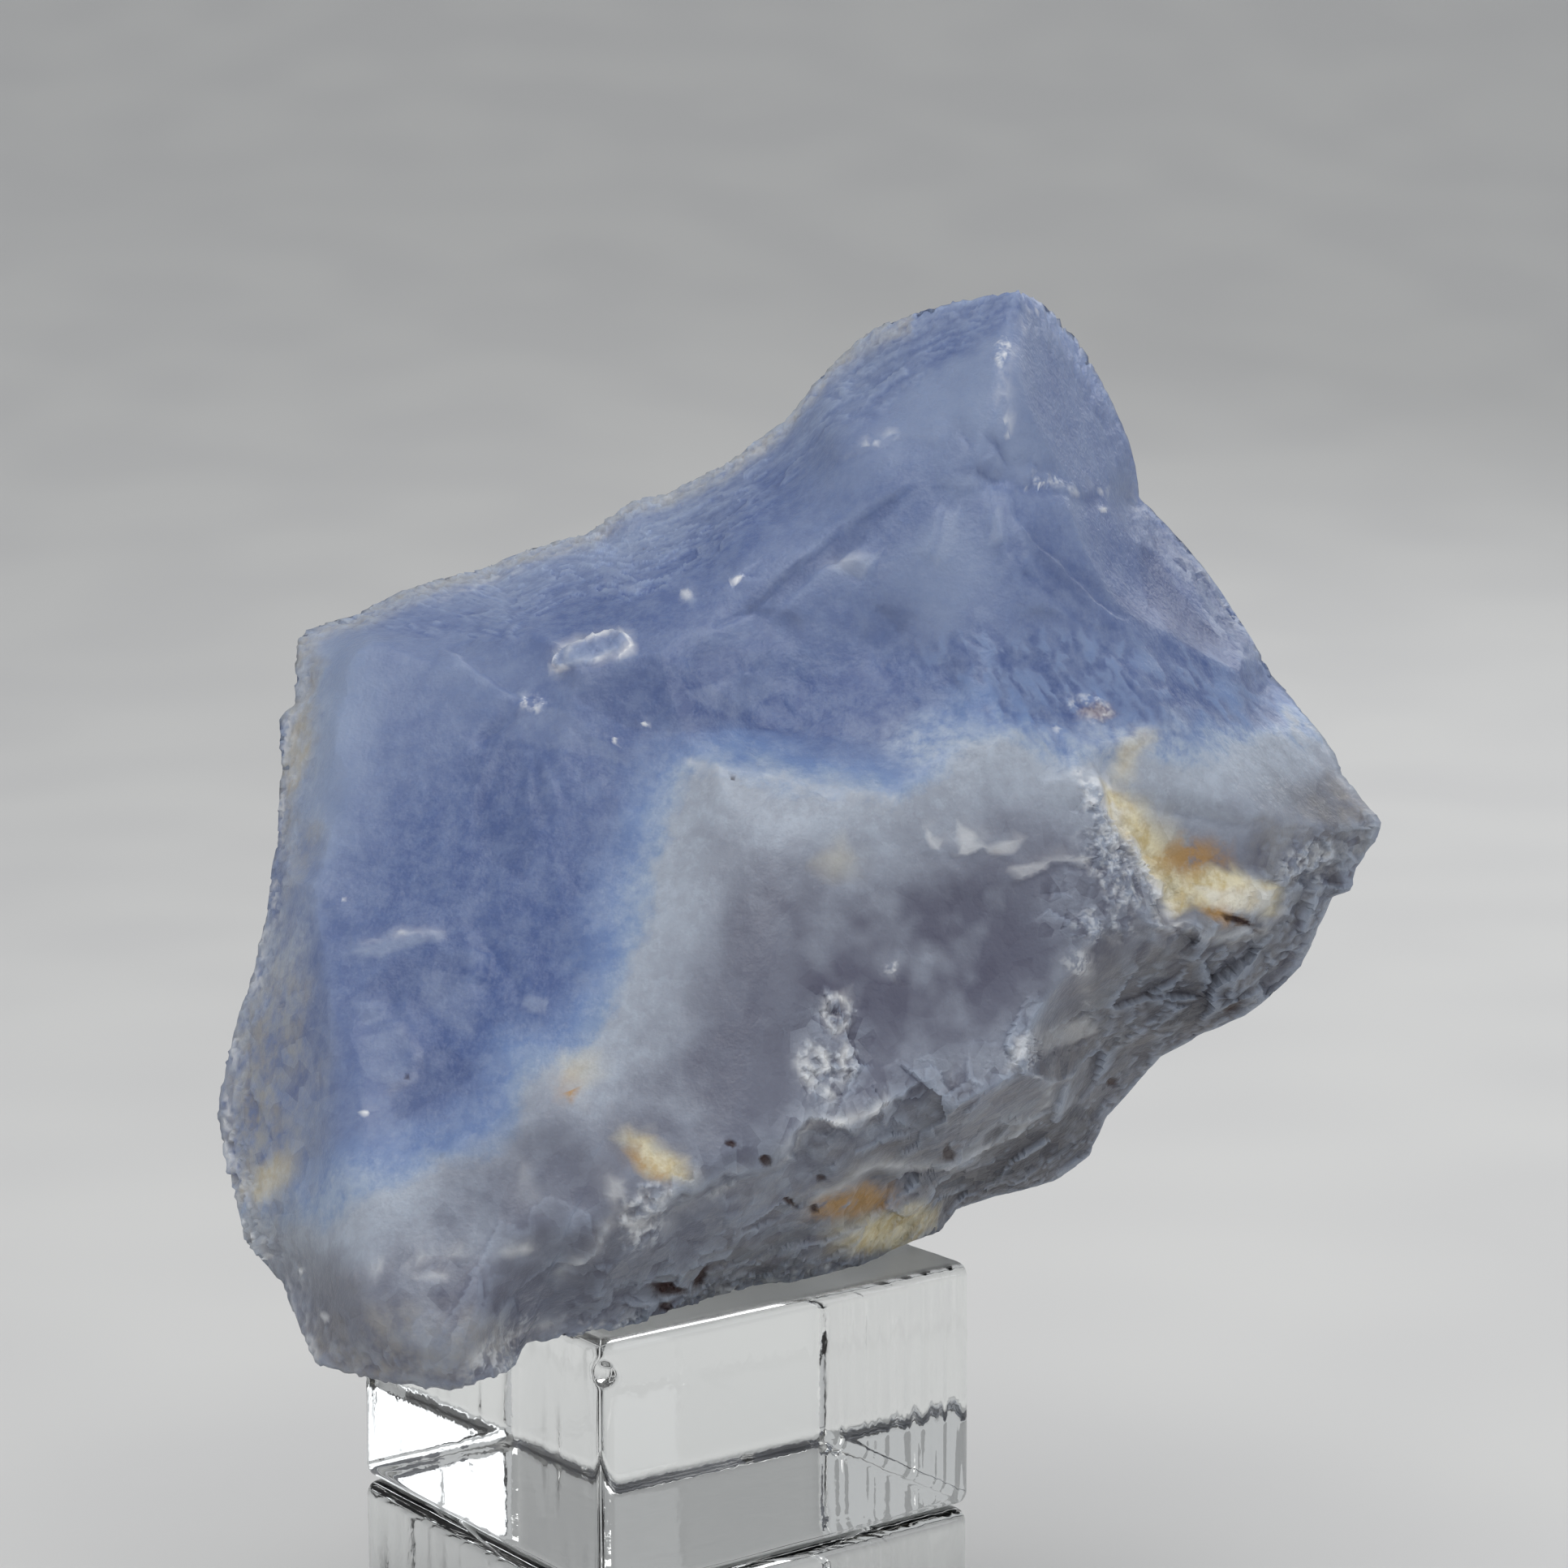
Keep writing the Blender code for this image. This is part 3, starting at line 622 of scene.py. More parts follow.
# Each factor in a line of fine is a height in millimetres.
fine = 0.05 * rough_noise(skin_points, 3.5, 71) + 0.02 * noise(skin_points, 0.8, 75)
long_flakes = flaking(8, 1.4, 81)
short_flakes = flaking(3.5, 0.6, 85)
ripples = feathers(skin_places, 91)
fine += band * (0.15 * long_flakes + 0.07 * short_flakes) + 0.08 * feather * ripples
flaky_fibre = 0.5 * long_flakes + 0.4 * short_flakes
# Fibre follows the height of the flakes and the ripples, so its colour ramp paints shade and light on them.
fibre = np.clip(0.5 + np.where(band > feather, flaky_fibre, 1.3 * ripples), 0, 1)
for number, facts in enumerate(FANS):
    fine += np.where(on_face, calm, 0) * fan(skin_places, *facts, seed=101 + 5 * number)
print("fine relief so far:", round(float(fine.min()), 2), "to", round(float(fine.max()), 2), "mm")

# %% [markdown]
# ## Thin cracks and small steps
#
# These lie where they lie on the real stone, so each is a bent line with places of its own. They
# need no new formula: a crack is a ridge that points inwards, and a small step is a ledge a fraction
# of a millimetre high. Noise pushes the lines about a little, because nothing on a broken stone runs
# straight.

# %% Thin cracks and small steps
# Thin lines: height, reach and places. A crack's height is below 0.
FINE_LINES = (
    (-0.35, 0.35, ((-18.9, 5.2), (-19.9, 3.9), (-21.6, 2.6))),
    (-0.25, 0.25, ((13.8, 24.9), (14.9, 23.8), (15.9, 22.3))),
    (-0.2, 0.2, ((12.0, 24.7), (12.6, 24.1), (13.1, 23.7))),
    (-0.25, 0.25, ((13.6, 22.0), (14.5, 21.5), (15.8, 21.2))),
    (0.25, 0.7, ((11.0, 19.6), (10.6, 17.5), (10.2, 15.5))),
    (0.3, 0.8, ((14.6, 21.0), (14.9, 19.0), (15.2, 16.6))),
    (-0.3, 0.5, ((2.8, 16.3), (4.3, 15.2), (5.8, 14.3))),
    (0.2, 0.4, ((3.6, 15.6), (5.0, 15.9), (6.6, 15.2))),
    (-0.2, 0.3, ((6.5, 12.4), (7.4, 11.4), (8.4, 10.3))),
    (-0.2, 0.3, ((5.2, 10.8), (6.4, 9.3), (7.2, 8.0))),
    (0.2, 0.6, ((-4.9, 8.2), (-1.9, 7.7), (-0.2, 6.4), (1.4, 4.7))),
    (0.2, 0.6, ((-9.1, 9.3), (-7.6, 7.5), (-5.8, 5.3))),
    (-0.25, 0.4, ((1.1, 0.0), (2.5, -0.5), (3.9, -0.9))),
    (0.3, 0.8, ((-30.7, -11.6), (-27.2, -11.0), (-23.8, -10.4))),
    (0.25, 0.7, ((-27.5, -15.0), (-26.0, -17.5), (-24.5, -20.2))),
    (-0.2, 0.4, ((-27.5, -25.8), (-25.4, -25.4), (-23.2, -24.9))),
    (0.25, 0.5, ((-12.2, -31.1), (-13.6, -32.8), (-15.5, -34.3))),
    (-0.35, 0.4, ((33.7, -15.1), (34.9, -13.9), (35.7, -12.5))),
    (-0.25, 0.4, ((23.7, -1.0), (28.0, -2.2), (33.0, -3.0), (38.0, -3.4))),
    (-0.2, 0.4, ((-22.5, -9.0), (-19.5, -13.0), (-18.0, -15.5))),
)
# Small steps: height, reach and places. The stone stands out on the left-hand side.
FINE_STEPS = (
    (0.25, 1.4, ((-3.1, 11.7), (-0.4, 14.1), (2.4, 16.6), (4.9, 18.4), (7.5, 20.3), (9.5, 21.6))),
    (-0.15, 1.0, ((-1.5, 11.2), (1.0, 13.6), (3.6, 15.6), (6.2, 17.2))),
    (0.25, 1.8, ((23.9, 11.2), (21.6, 13.6), (19.7, 15.4), (17.4, 16.9), (16.3, 18.4), (15.9, 20.8))),
    (-0.15, 1.2, ((22.6, 10.4), (20.2, 12.6), (18.0, 14.4), (16.4, 15.2))),
    (0.15, 1.0, ((10.0, 21.2), (12.4, 20.8), (15.0, 20.9), (18.5, 20.7), (22.8, 20.3))),
    (0.3, 1.2, ((-18.8, 5.9), (-20.6, 7.2), (-22.2, 8.3), (-24.2, 9.7))),
    (0.12, 1.2, ((-28.6, -21.6), (-26.2, -20.8), (-25.6, -18.9), (-26.6, -17.2), (-28.6, -16.4))),
    (0.15, 0.8, ((-30.2, -16.6), (-28.6, -16.2), (-28.2, -15.0))),
    (0.3, 0.8, ((-22.0, -14.0), (-20.8, -13.4), (-20.6, -12.0), (-22.0, -11.4))),
    (0.15, 0.7, ((9.2, -4.6), (10.6, -4.9), (12.2, -5.3), (14.0, -4.7), (16.6, -4.8))),
    (0.15, 0.7, ((15.6, -6.9), (16.6, -6.8), (18.6, -6.0), (21.6, -5.8))),
    (0.15, 0.9, ((3.3, 22.6), (5.6, 23.8), (8.0, 24.6), (11.2, 24.2))),
    (0.25, 0.6, ((-1.8, 12.0), (-5.0, 10.9), (-5.4, 11.3))),
    (0.25, 0.6, ((-3.8, 14.0), (-2.9, 14.6), (-3.0, 14.1))),
)

jittered = skin_places + 0.35 * push
for line in FINE_LINES:
    fine += np.where(on_face, line_cusp(jittered, *line), 0)
for step in FINE_STEPS:
    fine += np.where(on_face, line_step(jittered, *step, edge=0.15), 0)
print(len(FINE_LINES), "thin lines and", len(FINE_STEPS), "small steps")

# %% [markdown]
# ## Rubble, crystals and a loose flake
#
# The crystalline parts broke into lumps with flat faces, in three sizes. The lumps could be separate
# pieces, but they are one with the stone, so they are relief too. On sides that turn away from the
# eye, narrow steps would stand up like the teeth of a comb, so the relief is smoothed there. The
# back is broken in wide flakes, by the same sudden drops as the band. White crystals are finer
# rubble in small patches, and one loose flake lies in the face.

# %% Rubble, crystals and a loose flake
# The loose flake, and the patches of crystals, described as the patches of rubble are.
FLAKE = (1.0, 2.9, 0.9, 17, (-13.6, 9.4))
CRYSTAL_PATCHES = (
    (0.7, 2.1, 1.3, 100, (2.2, -20.2)), (0.6, 1.4, 0.9, 60, (4.2, -19.6)),
    (0.6, 1.5, 1.2, 0, (3.7, -16.3)), (0.8, 1.0, 0.7, 0, (-17.9, 5.5)),
    (0.7, 0.6, 0.4, 30, (7.5, -12.8)), (0.9, 6.0, 0.9, -62, (23.6, -4.2)),
    (0.6, 3.4, 1.3, -60, (22.9, -6.3)), (0.6, 1.5, 1.0, -30, (21.6, 5.3)),
    (0.7, 2.4, 1.5, 60, (-9.9, -30.2)), (0.5, 1.4, 1.2, 45, (17.0, -18.6)),
    (0.5, 1.2, 0.8, 0, (20.8, -12.6)), (0.5, 2.0, 1.2, 0, (22.4, -10.0)),
    (0.5, 3.2, 1.2, 55, (-19.6, -39.6)), (0.7, 1.0, 0.5, 75, (15.4, 30.6)),
    (0.5, 1.2, 0.35, 0, (18.6, 21.1)), (0.6, 2.5, 1.2, 20, (37.0, -5.3)),
)


def smoothed(values, times):
    """Each point's value becomes the mean of the quads around it, this many times over."""
    corners = skin_quads.ravel()
    around = np.bincount(corners)
    for _ in range(times):
        middles = values[skin_quads].mean(axis=1)
        values = np.bincount(corners, np.repeat(middles, 4)) / around
    return values


crystals = np.where(on_face, patches(CRYSTAL_PATCHES, 0.3, 0.5), 0)
flake = np.where(on_face, patches((FLAKE,), 0.06, 0.25), 0)
lying = skin_points * (1, 0.55, 1)  # longer from front to back, so that they look even from the front
lumps = rubble(lying, 1.9, 111)
grit = rubble(lying, 0.8, 113)
# The lumps are higher here and lower there, and worn smoother at the left.
swing = 0.6 + 0.6 * rough_noise(skin_points, 9, 117, 2)
chunks = rubble(lying, 3.8, 121)
left_side = smooth_step((-24 - skin_places[:, 0]) / 6)
to_eye = smooth_step((-outward[:, 1] - 0.15) / 0.5)
coarse = rough * swing * (1 - 0.7 * left_side)
broken = coarse * (0.45 * chunks + to_eye * (0.2 * lumps + 0.06 * grit))
fine += np.where(on_face, to_eye * broken + (1 - to_eye) * smoothed(broken, 3), broken)
uneven = rough_noise(skin_points, 5, 131, 4)
fine += np.where(on_face, 0, 0.5 * (uneven - 0.4 * np.floor(2.5 * uneven)) + 0.12 * uneven)
ragged_rim = near_rim * np.where(skin_places[:, 0] - 0.4 * skin_places[:, 1] < 12, 1, 0.5)
fine += 0.12 * ragged_rim * rubble(skin_points, 0.7, 119)
fine += crystals * (0.1 + 0.22 * rubble(skin_points, 0.65, 115))
fine += flake * (0.35 + 0.08 * grit)
print("fine relief:", round(float(fine.min()), 2), "to", round(float(fine.max()), 2), "mm")

# %% [markdown]
# ## Where each colour lies: blue, milk and core
#
# The blue is not a dye. The upper stone scatters blue light, and towards the lower right it turns
# milky, then a mauve grey where more light goes through. One line marks where blue turns to milk,
# over about 5 mm, and in the feathery zone the feathers push it up and down. The core is what lies
# well inside the milk, with some patches of its own. Each colour is a strength from 0 to 1, which is
# kept in the mesh as an attribute, so that it stays with the surface.

# %% Blue, milk and core
# The line from left to right, with the milk below it.
MILK_LINE = (
    (-46, -31), (-36.3, -29.6), (-28.8, -26.6), (-21.5, -24.5), (-20.0, -22.6), (-19.2, -18.8),
    (-15.2, -17.4), (-12.8, -12.5), (-11.2, -8.5), (-10.2, -3.5), (-8.6, 0.6), (-5, 2.4), (-1.2, 2.0),
    (2, 1.2), (7.5, 0.4), (9.6, 2.2), (11.6, 4.3), (13.4, 4.9), (18.1, 4.0), (22.1, 3.1), (27.6, 2.9),
    (33.1, 3.7), (38, 6), (46, 10),
)
# Places across, and the width in millimetres over which blue turns to milk there.
MILK_WIDTHS = ((-46, -32, -25, -16, -10, -6.5, -4, 6, 9, 13, 46), (6, 6, 5, 5.5, 6, 5, 4.6, 4.4, 4.8, 5, 5))
CORE_PATCHES = ((1.0, 13, 8, 12, (9.5, -13)), (0.7, 9, 6.5, 25, (-16, -30)), (0.7, 9, 3, 25, (29, -15)))
CORE_START = 3  # millimetres inside the milk at which the core begins
CORE_BORDER = 7  # millimetres over which it comes to full strength


def zone_of_milk(places):
    """0 in the blue and 1 in the milk: the signed distance from the line over the width there."""
    distance, side, _, _ = beside_line(places, MILK_LINE)
    width = np.interp(places[:, 0], *MILK_WIDTHS)
    return np.clip(0.5 - side * distance / width, 0, 1)


shifted = skin_places + 0.9 * push
feather_lift = 1.6 * feather * feathers(skin_places, 421)
milk = zone_of_milk(shifted + np.column_stack((np.zeros(len(feather_lift)), feather_lift)))
depth_in_milk, milk_side, _, _ = beside_line(shifted, MILK_LINE)
core = smooth_step((-milk_side * depth_in_milk - CORE_START) / CORE_BORDER)
core = np.maximum(0.8 * core, patches(CORE_PATCHES, 0.6, 1.5) * (milk_side < 0))
print("milky share of the skin:", round(100 * float(milk.mean())), "%")

# %% [markdown]
# ## Deep blue, pale blue and crisp plates
#
# The blue is deeper where the stone is thick and paler where it is thin. The patches also paint
# shade where the stone faces away and light where it is lit.
# Those changes are soft, so they are patches. Where a thin flake lifted or broke off, the border is
# crisp instead. Such a shape is a plate: a few corners, full strength inside, and a border a
# fraction of a millimetre wide. Plates serve for pale flakes, for dark facets and for stains.

# %% Deep blue, pale blue and crisp plates
DEEP_PATCHES = (
    (1.0, 13, 5.5, 48, (-18.5, -13)), (0.9, 13, 8, 60, (-22, -7)), (0.5, 6, 5, 40, (-12, 2)),
    (1.0, 13, 3.2, 0, (1, 6.0)), (0.5, 7, 3, 40, (6.5, 18.6)), (0.6, 8, 3, -38, (20.5, 14.6)),
    (1.0, 6.5, 3.4, -58, (28.6, 12.4)), (0.7, 9, 2.6, 12, (-13, 11.5)), (0.8, 9, 2.2, 38, (-4, 17.5)),
    (0.7, 6, 1.6, 22, (10.5, 31.5)), (0.5, 12, 5, 75, (-27, -14)), (0.9, 12, 3.0, -5, (20, 6.8)),
)
PALE_PATCHES = (
    (0.8, 9, 3.4, 84, (-31.8, 3)), (0.25, 9, 4, 45, (3, 19.5)), (0.6, 8, 5, 85, (11.5, 26)),
    (0.5, 12, 2.5, 36, (5, 28)), (0.5, 5, 4, 85, (13, 16.5)), (0.6, 3, 0.8, 12, (-27.2, -11.2)),
    (0.5, 3, 1.2, 95, (14.8, 18.5)), (0.5, 2.5, 1, 80, (10.8, 17.5)),
    (0.5, 2.2, 1.3, 60, (-17.5, -15.6)), (0.5, 1.8, 1.0, 20, (5, 15.4)), (0.4, 6, 3, 60, (-21, 7)),
)
# Plates: strength, then corners clockwise.
PALE_PLATES = (
    (0.7, (2.8, 15.2), (7.0, 16.5), (5.4, 14.5)),
    (0.7, (-30.7, -11.9), (-24.1, -10.4), (-23.7, -11.0), (-28.3, -12.2)),
    (0.35, (-30.1, -17.8), (-27.3, -17.4), (-26.3, -18.5), (-26.5, -20.4), (-27.9, -21.4),
     (-29.7, -20.4)),
    (0.4, (-31.3, -15.0), (-28.9, -15.5), (-27.9, -16.5), (-29.9, -17.3), (-30.3, -16.2)),
    (0.35, (-22.2, -11.7), (-20.7, -11.5), (-21.0, -12.5), (-21.9, -13.3)),
    (0.6, (-18.4, -14.7), (-16.6, -15.1), (-17.0, -16.1), (-18.4, -15.8)),
    (0.6, (-11.7, 13.7), (-9.2, 14.3), (-10.4, 13.3)),
    (0.6, (-7.1, 13.5), (-6.3, 13.1), (-6.7, 12.6)),
    (0.3, (-20, 3.1), (-18.6, 5.6), (-15, 5.0), (-10.7, 1.4)),
    (0.4, (11.4, 19.2), (12.4, 19.2), (11.6, 15.8), (10.7, 15.0)),
    (0.5, (14.7, 19.2), (15.5, 19.2), (15.3, 16.9), (14.3, 16.5)),
    (0.35, (-7.0, 6.4), (-2.2, 8.0), (0.4, 7.0), (-3.5, 4.6)),
    (0.3, (-25.4, -13.0), (-21.6, -13.6), (-21.6, -17.6), (-25.8, -16.0)),
    (0.4, (-12.9, -17.4), (-12.0, -17.2), (-12.1, -18.0), (-12.8, -18.1)),
)
# The corners of two dark crescents in the facet at the right. Their darkness is painted shade, laid
# on as deep blue and as the shade of a hollow.
CRESCENTS = (
    ((25.2, 17.0), (26.2, 16.4), (27.8, 13.4), (25.6, 12.4)),
    ((25.6, 13.6), (27.7, 13.6), (31.0, 10.3), (29.8, 9.0), (27.0, 10.5)),
)


def plates(listed, border=0.14):
    """Flat-sided shapes with crisp borders: 1 inside all of a shape's sides, 0 outside any.

    Each shape's corners run clockwise. A place's distance from a side is how far it lies to the
    right of it, and the smallest of these decides.
    """
    places = skin_places + 0.2 * push
    strongest = np.zeros(len(places))
    for strength, *corners in listed:
        inside = np.full(len(places), np.inf)
        for start, end in zip(corners, corners[1:] + corners[:1]):
            run = np.subtract(end, start) / np.hypot(*np.subtract(end, start))
            off = places - start
            inside = np.minimum(inside, run[1] * off[:, 0] - run[0] * off[:, 1])
        strongest = np.maximum(strength * smooth_step(0.5 + inside / (2 * border)), strongest)
    return strongest * on_face


deep = np.maximum(patches(DEEP_PATCHES, 0.7, 1.0), plates([(1.0, *corners) for corners in CRESCENTS]))
light_band = band * on_face * smooth_step((band_distance - 0.6) / 3.5)
pale = np.maximum(patches(PALE_PATCHES, 0.7, 0.8), 0.85 * light_band * (0.7 + 0.4 * push[:, 0]))
pale = np.maximum(pale, flake)
pale_plates = plates(PALE_PLATES)
print(len(PALE_PLATES), "pale plates and", len(CRESCENTS), "dark crescents")

# %% [markdown]
# ## Rind, frost and smoke
#
# The oldest surfaces have a pale rind, along the left side, the upper edge and the lower edge. Frost
# is a whitish haze under the skin, along the border of the milk and near some edges. Smoke is the
# opposite, dark clear stone in the broken facets low on the right, and there it is also painted shade
# on the lower part, which faces away from the light above. All three are soft patches, and two shaded
# facets are plates. On the back, rind and smoke come and go with slow noise.

# %% Rind, frost and smoke
RIND_PATCHES = (
    (0.8, 6, 2.2, 8, (-4, -34.6)), (0.6, 5, 1.8, 12, (9.5, -31.2)), (1.0, 14, 3.6, 82, (-38, -26)),
    (0.9, 8, 1.4, 90, (-34.6, 2)), (0.8, 8, 3, -5, (-26, -40)), (0.8, 7, 4.5, 35, (38.5, -6)),
    (0.6, 16, 4.5, 25, (8, -29)), (0.7, 11, 5, 38, (29, -14)),
)
FROST_PATCHES = (
    (0.8, 6, 1.8, -4, (13.5, 2.4)), (0.8, 8, 1.5, -2, (25, 2.4)), (0.8, 5, 2.4, 12, (34, 1.5)),
    (0.4, 4, 2.4, 70, (-8.5, -6)), (0.5, 8, 1.5, -6, (0, -1.6)), (0.5, 5, 3, 0, (18, -1.5)),
    (0.45, 5, 1.2, 24, (-22.5, -30)), (0.6, 4, 0.8, 60, (-15.5, -33)), (0.6, 5, 2.2, 30, (-13.5, -20)),
    (0.5, 6, 3, 0, (-28, -30)), (0.5, 3, 1.4, 20, (0.5, -22)), (0.7, 6, 2.0, 60, (-36.5, -14)),
    (0.6, 7, 1.8, 90, (-33.8, 3)), (0.6, 5, 1.2, 30, (-11, -33)), (0.6, 5, 0.9, 20, (-21.5, -40.8)),
    (0.6, 7, 1.0, 24, (2, -27.2)), (0.7, 5, 1.2, 28, (16.5, -22.8)), (0.6, 3.5, 2.5, -30, (33.5, -4)),
    (0.7, 4, 2, 30, (38.5, -4.5)), (0.5, 8, 0.8, 32, (21, -27.5)),
)
SMOKE_PATCHES = (
    (1.0, 8, 3.2, 32, (17, -27)), (0.7, 12, 5.5, 38, (27, -16)), (0.5, 12, 3, 12, (0, -34.5)),
    (0.3, 6, 3, 0, (-10, -34)), (0.5, 5, 2.5, 25, (9, -25.5)), (0.9, 5, 1.6, 22, (28.5, -15.4)),
    (0.5, 5, 2, -60, (-33, -35)), (0.5, 4, 1.5, -20, (37, -1.5)), (1.0, 4, 1.8, 12, (28.4, -16.0)),
    (1.0, 4.5, 2, 30, (17.2, -25.6)),
)
# The corners of two facets above the lower right edge that face down. Their darkness is painted shade,
# laid on as smoke and as the shade of a hollow.
SHADED_FACETS = (
    ((25.1, -13.8), (32.6, -14.2), (32.4, -16.3), (25.3, -16.9)),
    ((14.0, -24.5), (20.5, -22.5), (22.4, -23.5), (20.5, -27.0), (13.5, -28.5)),
)

top_edge = smooth_step((to_rim - 0.93) / 0.06) * (skin_places[:, 1] > 5) * (skin_places[:, 0] < 9)
rind = np.maximum(patches(RIND_PATCHES, 0.5, 1.4), 0.9 * top_edge)
rind = np.where(on_face, rind, np.maximum(0.6 * back_rough, rind))
frost = np.maximum(patches(FROST_PATCHES, 0.8, 1.4), np.maximum(0.9 * top_edge, 0.3 * light_band))
frost *= on_face
shaded_facets = plates([(0.9, *corners) for corners in SHADED_FACETS], 0.4)
smoke_and_shade = np.maximum(patches(SMOKE_PATCHES, 0.6, 1.3), shaded_facets)
smoke_and_shade = np.where(on_face, smoke_and_shade, 0.6 * milk * smooth_step(0.5 + noise(skin_points, 12, 495)))
print("rind covers", round(100 * float(rind.mean())), "% of the skin")

# %% [markdown]
# ## Iron stains
#
# Water brought iron into the cracks. Where it is thin it is yellow, where it is thicker orange, and
# where it has collected it is a rust so dark that it is nearly black. The stains lie in the ledges
# low on the face. Their yellow has two large crisp shapes, where a flake broke off along it.

# %% Iron stains
YELLOW_PATCHES = (
    (0.5, 3.5, 1.6, -65, (25.8, -4)), (0.45, 2.0, 1.0, 60, (25.0, 1.8)),
    (0.5, 1.8, 1.3, 30, (-36.2, -28)), (0.9, 3.4, 1.4, 12, (7.4, -31.4)),
    (0.8, 2.6, 1.0, -36, (-9, -26.2)), (0.35, 1.6, 1.2, 0, (-14.6, -20)), (0.2, 3, 1.2, 85, (-34.4, 2)),
    (0.25, 1.4, 1.0, 0, (3.8, -5.4)),
)
YELLOW_PLATES = (
    (1.0, (22.5, 0.1), (24.6, -1.4), (26.6, -4.4), (28.4, -8.6), (27.3, -9.2), (24.9, -5.6),
     (23.2, -2.4)),
    (0.9, (26.8, -6.5), (30.3, -5.9), (34.9, -7.3), (33.8, -9.9), (30.7, -9.0), (27.3, -9.0)),
)
ORANGE_PATCHES = (
    (0.75, 2.4, 1.3, 10, (28.6, -5.2)), (1.0, 0.9, 0.5, -45, (-14.9, -21.3)),
    (0.85, 3.0, 1.0, 10, (5.0, -29.4)), (0.8, 1.8, 0.5, -28, (31, -9.2)),
    (0.6, 1.8, 0.4, -35, (-9.6, -26.9)), (0.3, 1.2, 0.6, 0, (21.9, 5.1)),
)
RUST_PATCHES = (
    (1.0, 1.3, 0.4, -14, (-8.2, -35.6)), (1.0, 0.9, 0.28, 60, (-5.8, -34.9)),
    (0.9, 0.5, 0.2, 0, (-8.2, -37)), (1.0, 0.3, 0.22, 0, (-3.9, -25.2)),
    (1.0, 0.42, 0.3, 0, (-1.4, -26.4)), (1.0, 0.5, 0.2, -30, (0.4, -29.6)),
    (1.0, 0.28, 0.2, 0, (2.2, -29.9)), (0.9, 0.28, 0.25, 0, (2.5, -27.6)),
    (1.0, 0.6, 0.35, 40, (31.4, -15.6)), (1.0, 0.3, 0.4, 0, (23.1, -21.1)),
    (0.9, 0.4, 0.5, 0, (11.5, -25.9)), (1.0, 1.3, 0.22, -26, (32.2, -9.8)),
    (0.7, 0.2, 0.16, 0, (-3.5, 0.5)), (0.6, 0.2, 0.14, 0, (-26.7, -20.6)),
)

yellow = np.where(on_face, patches(YELLOW_PATCHES, 0.5, 0.8), 0)
yellow = np.maximum(yellow, plates(YELLOW_PLATES, 0.3))
orange = np.where(on_face, patches(ORANGE_PATCHES, 0.4, 0.4), 0)
rust = np.where(on_face, patches(RUST_PATCHES, 0.35, 0.28), 0)
print("stains:", len(YELLOW_PATCHES) + len(YELLOW_PLATES), "yellow,", len(ORANGE_PATCHES), "orange,",
      len(RUST_PATCHES), "rust")
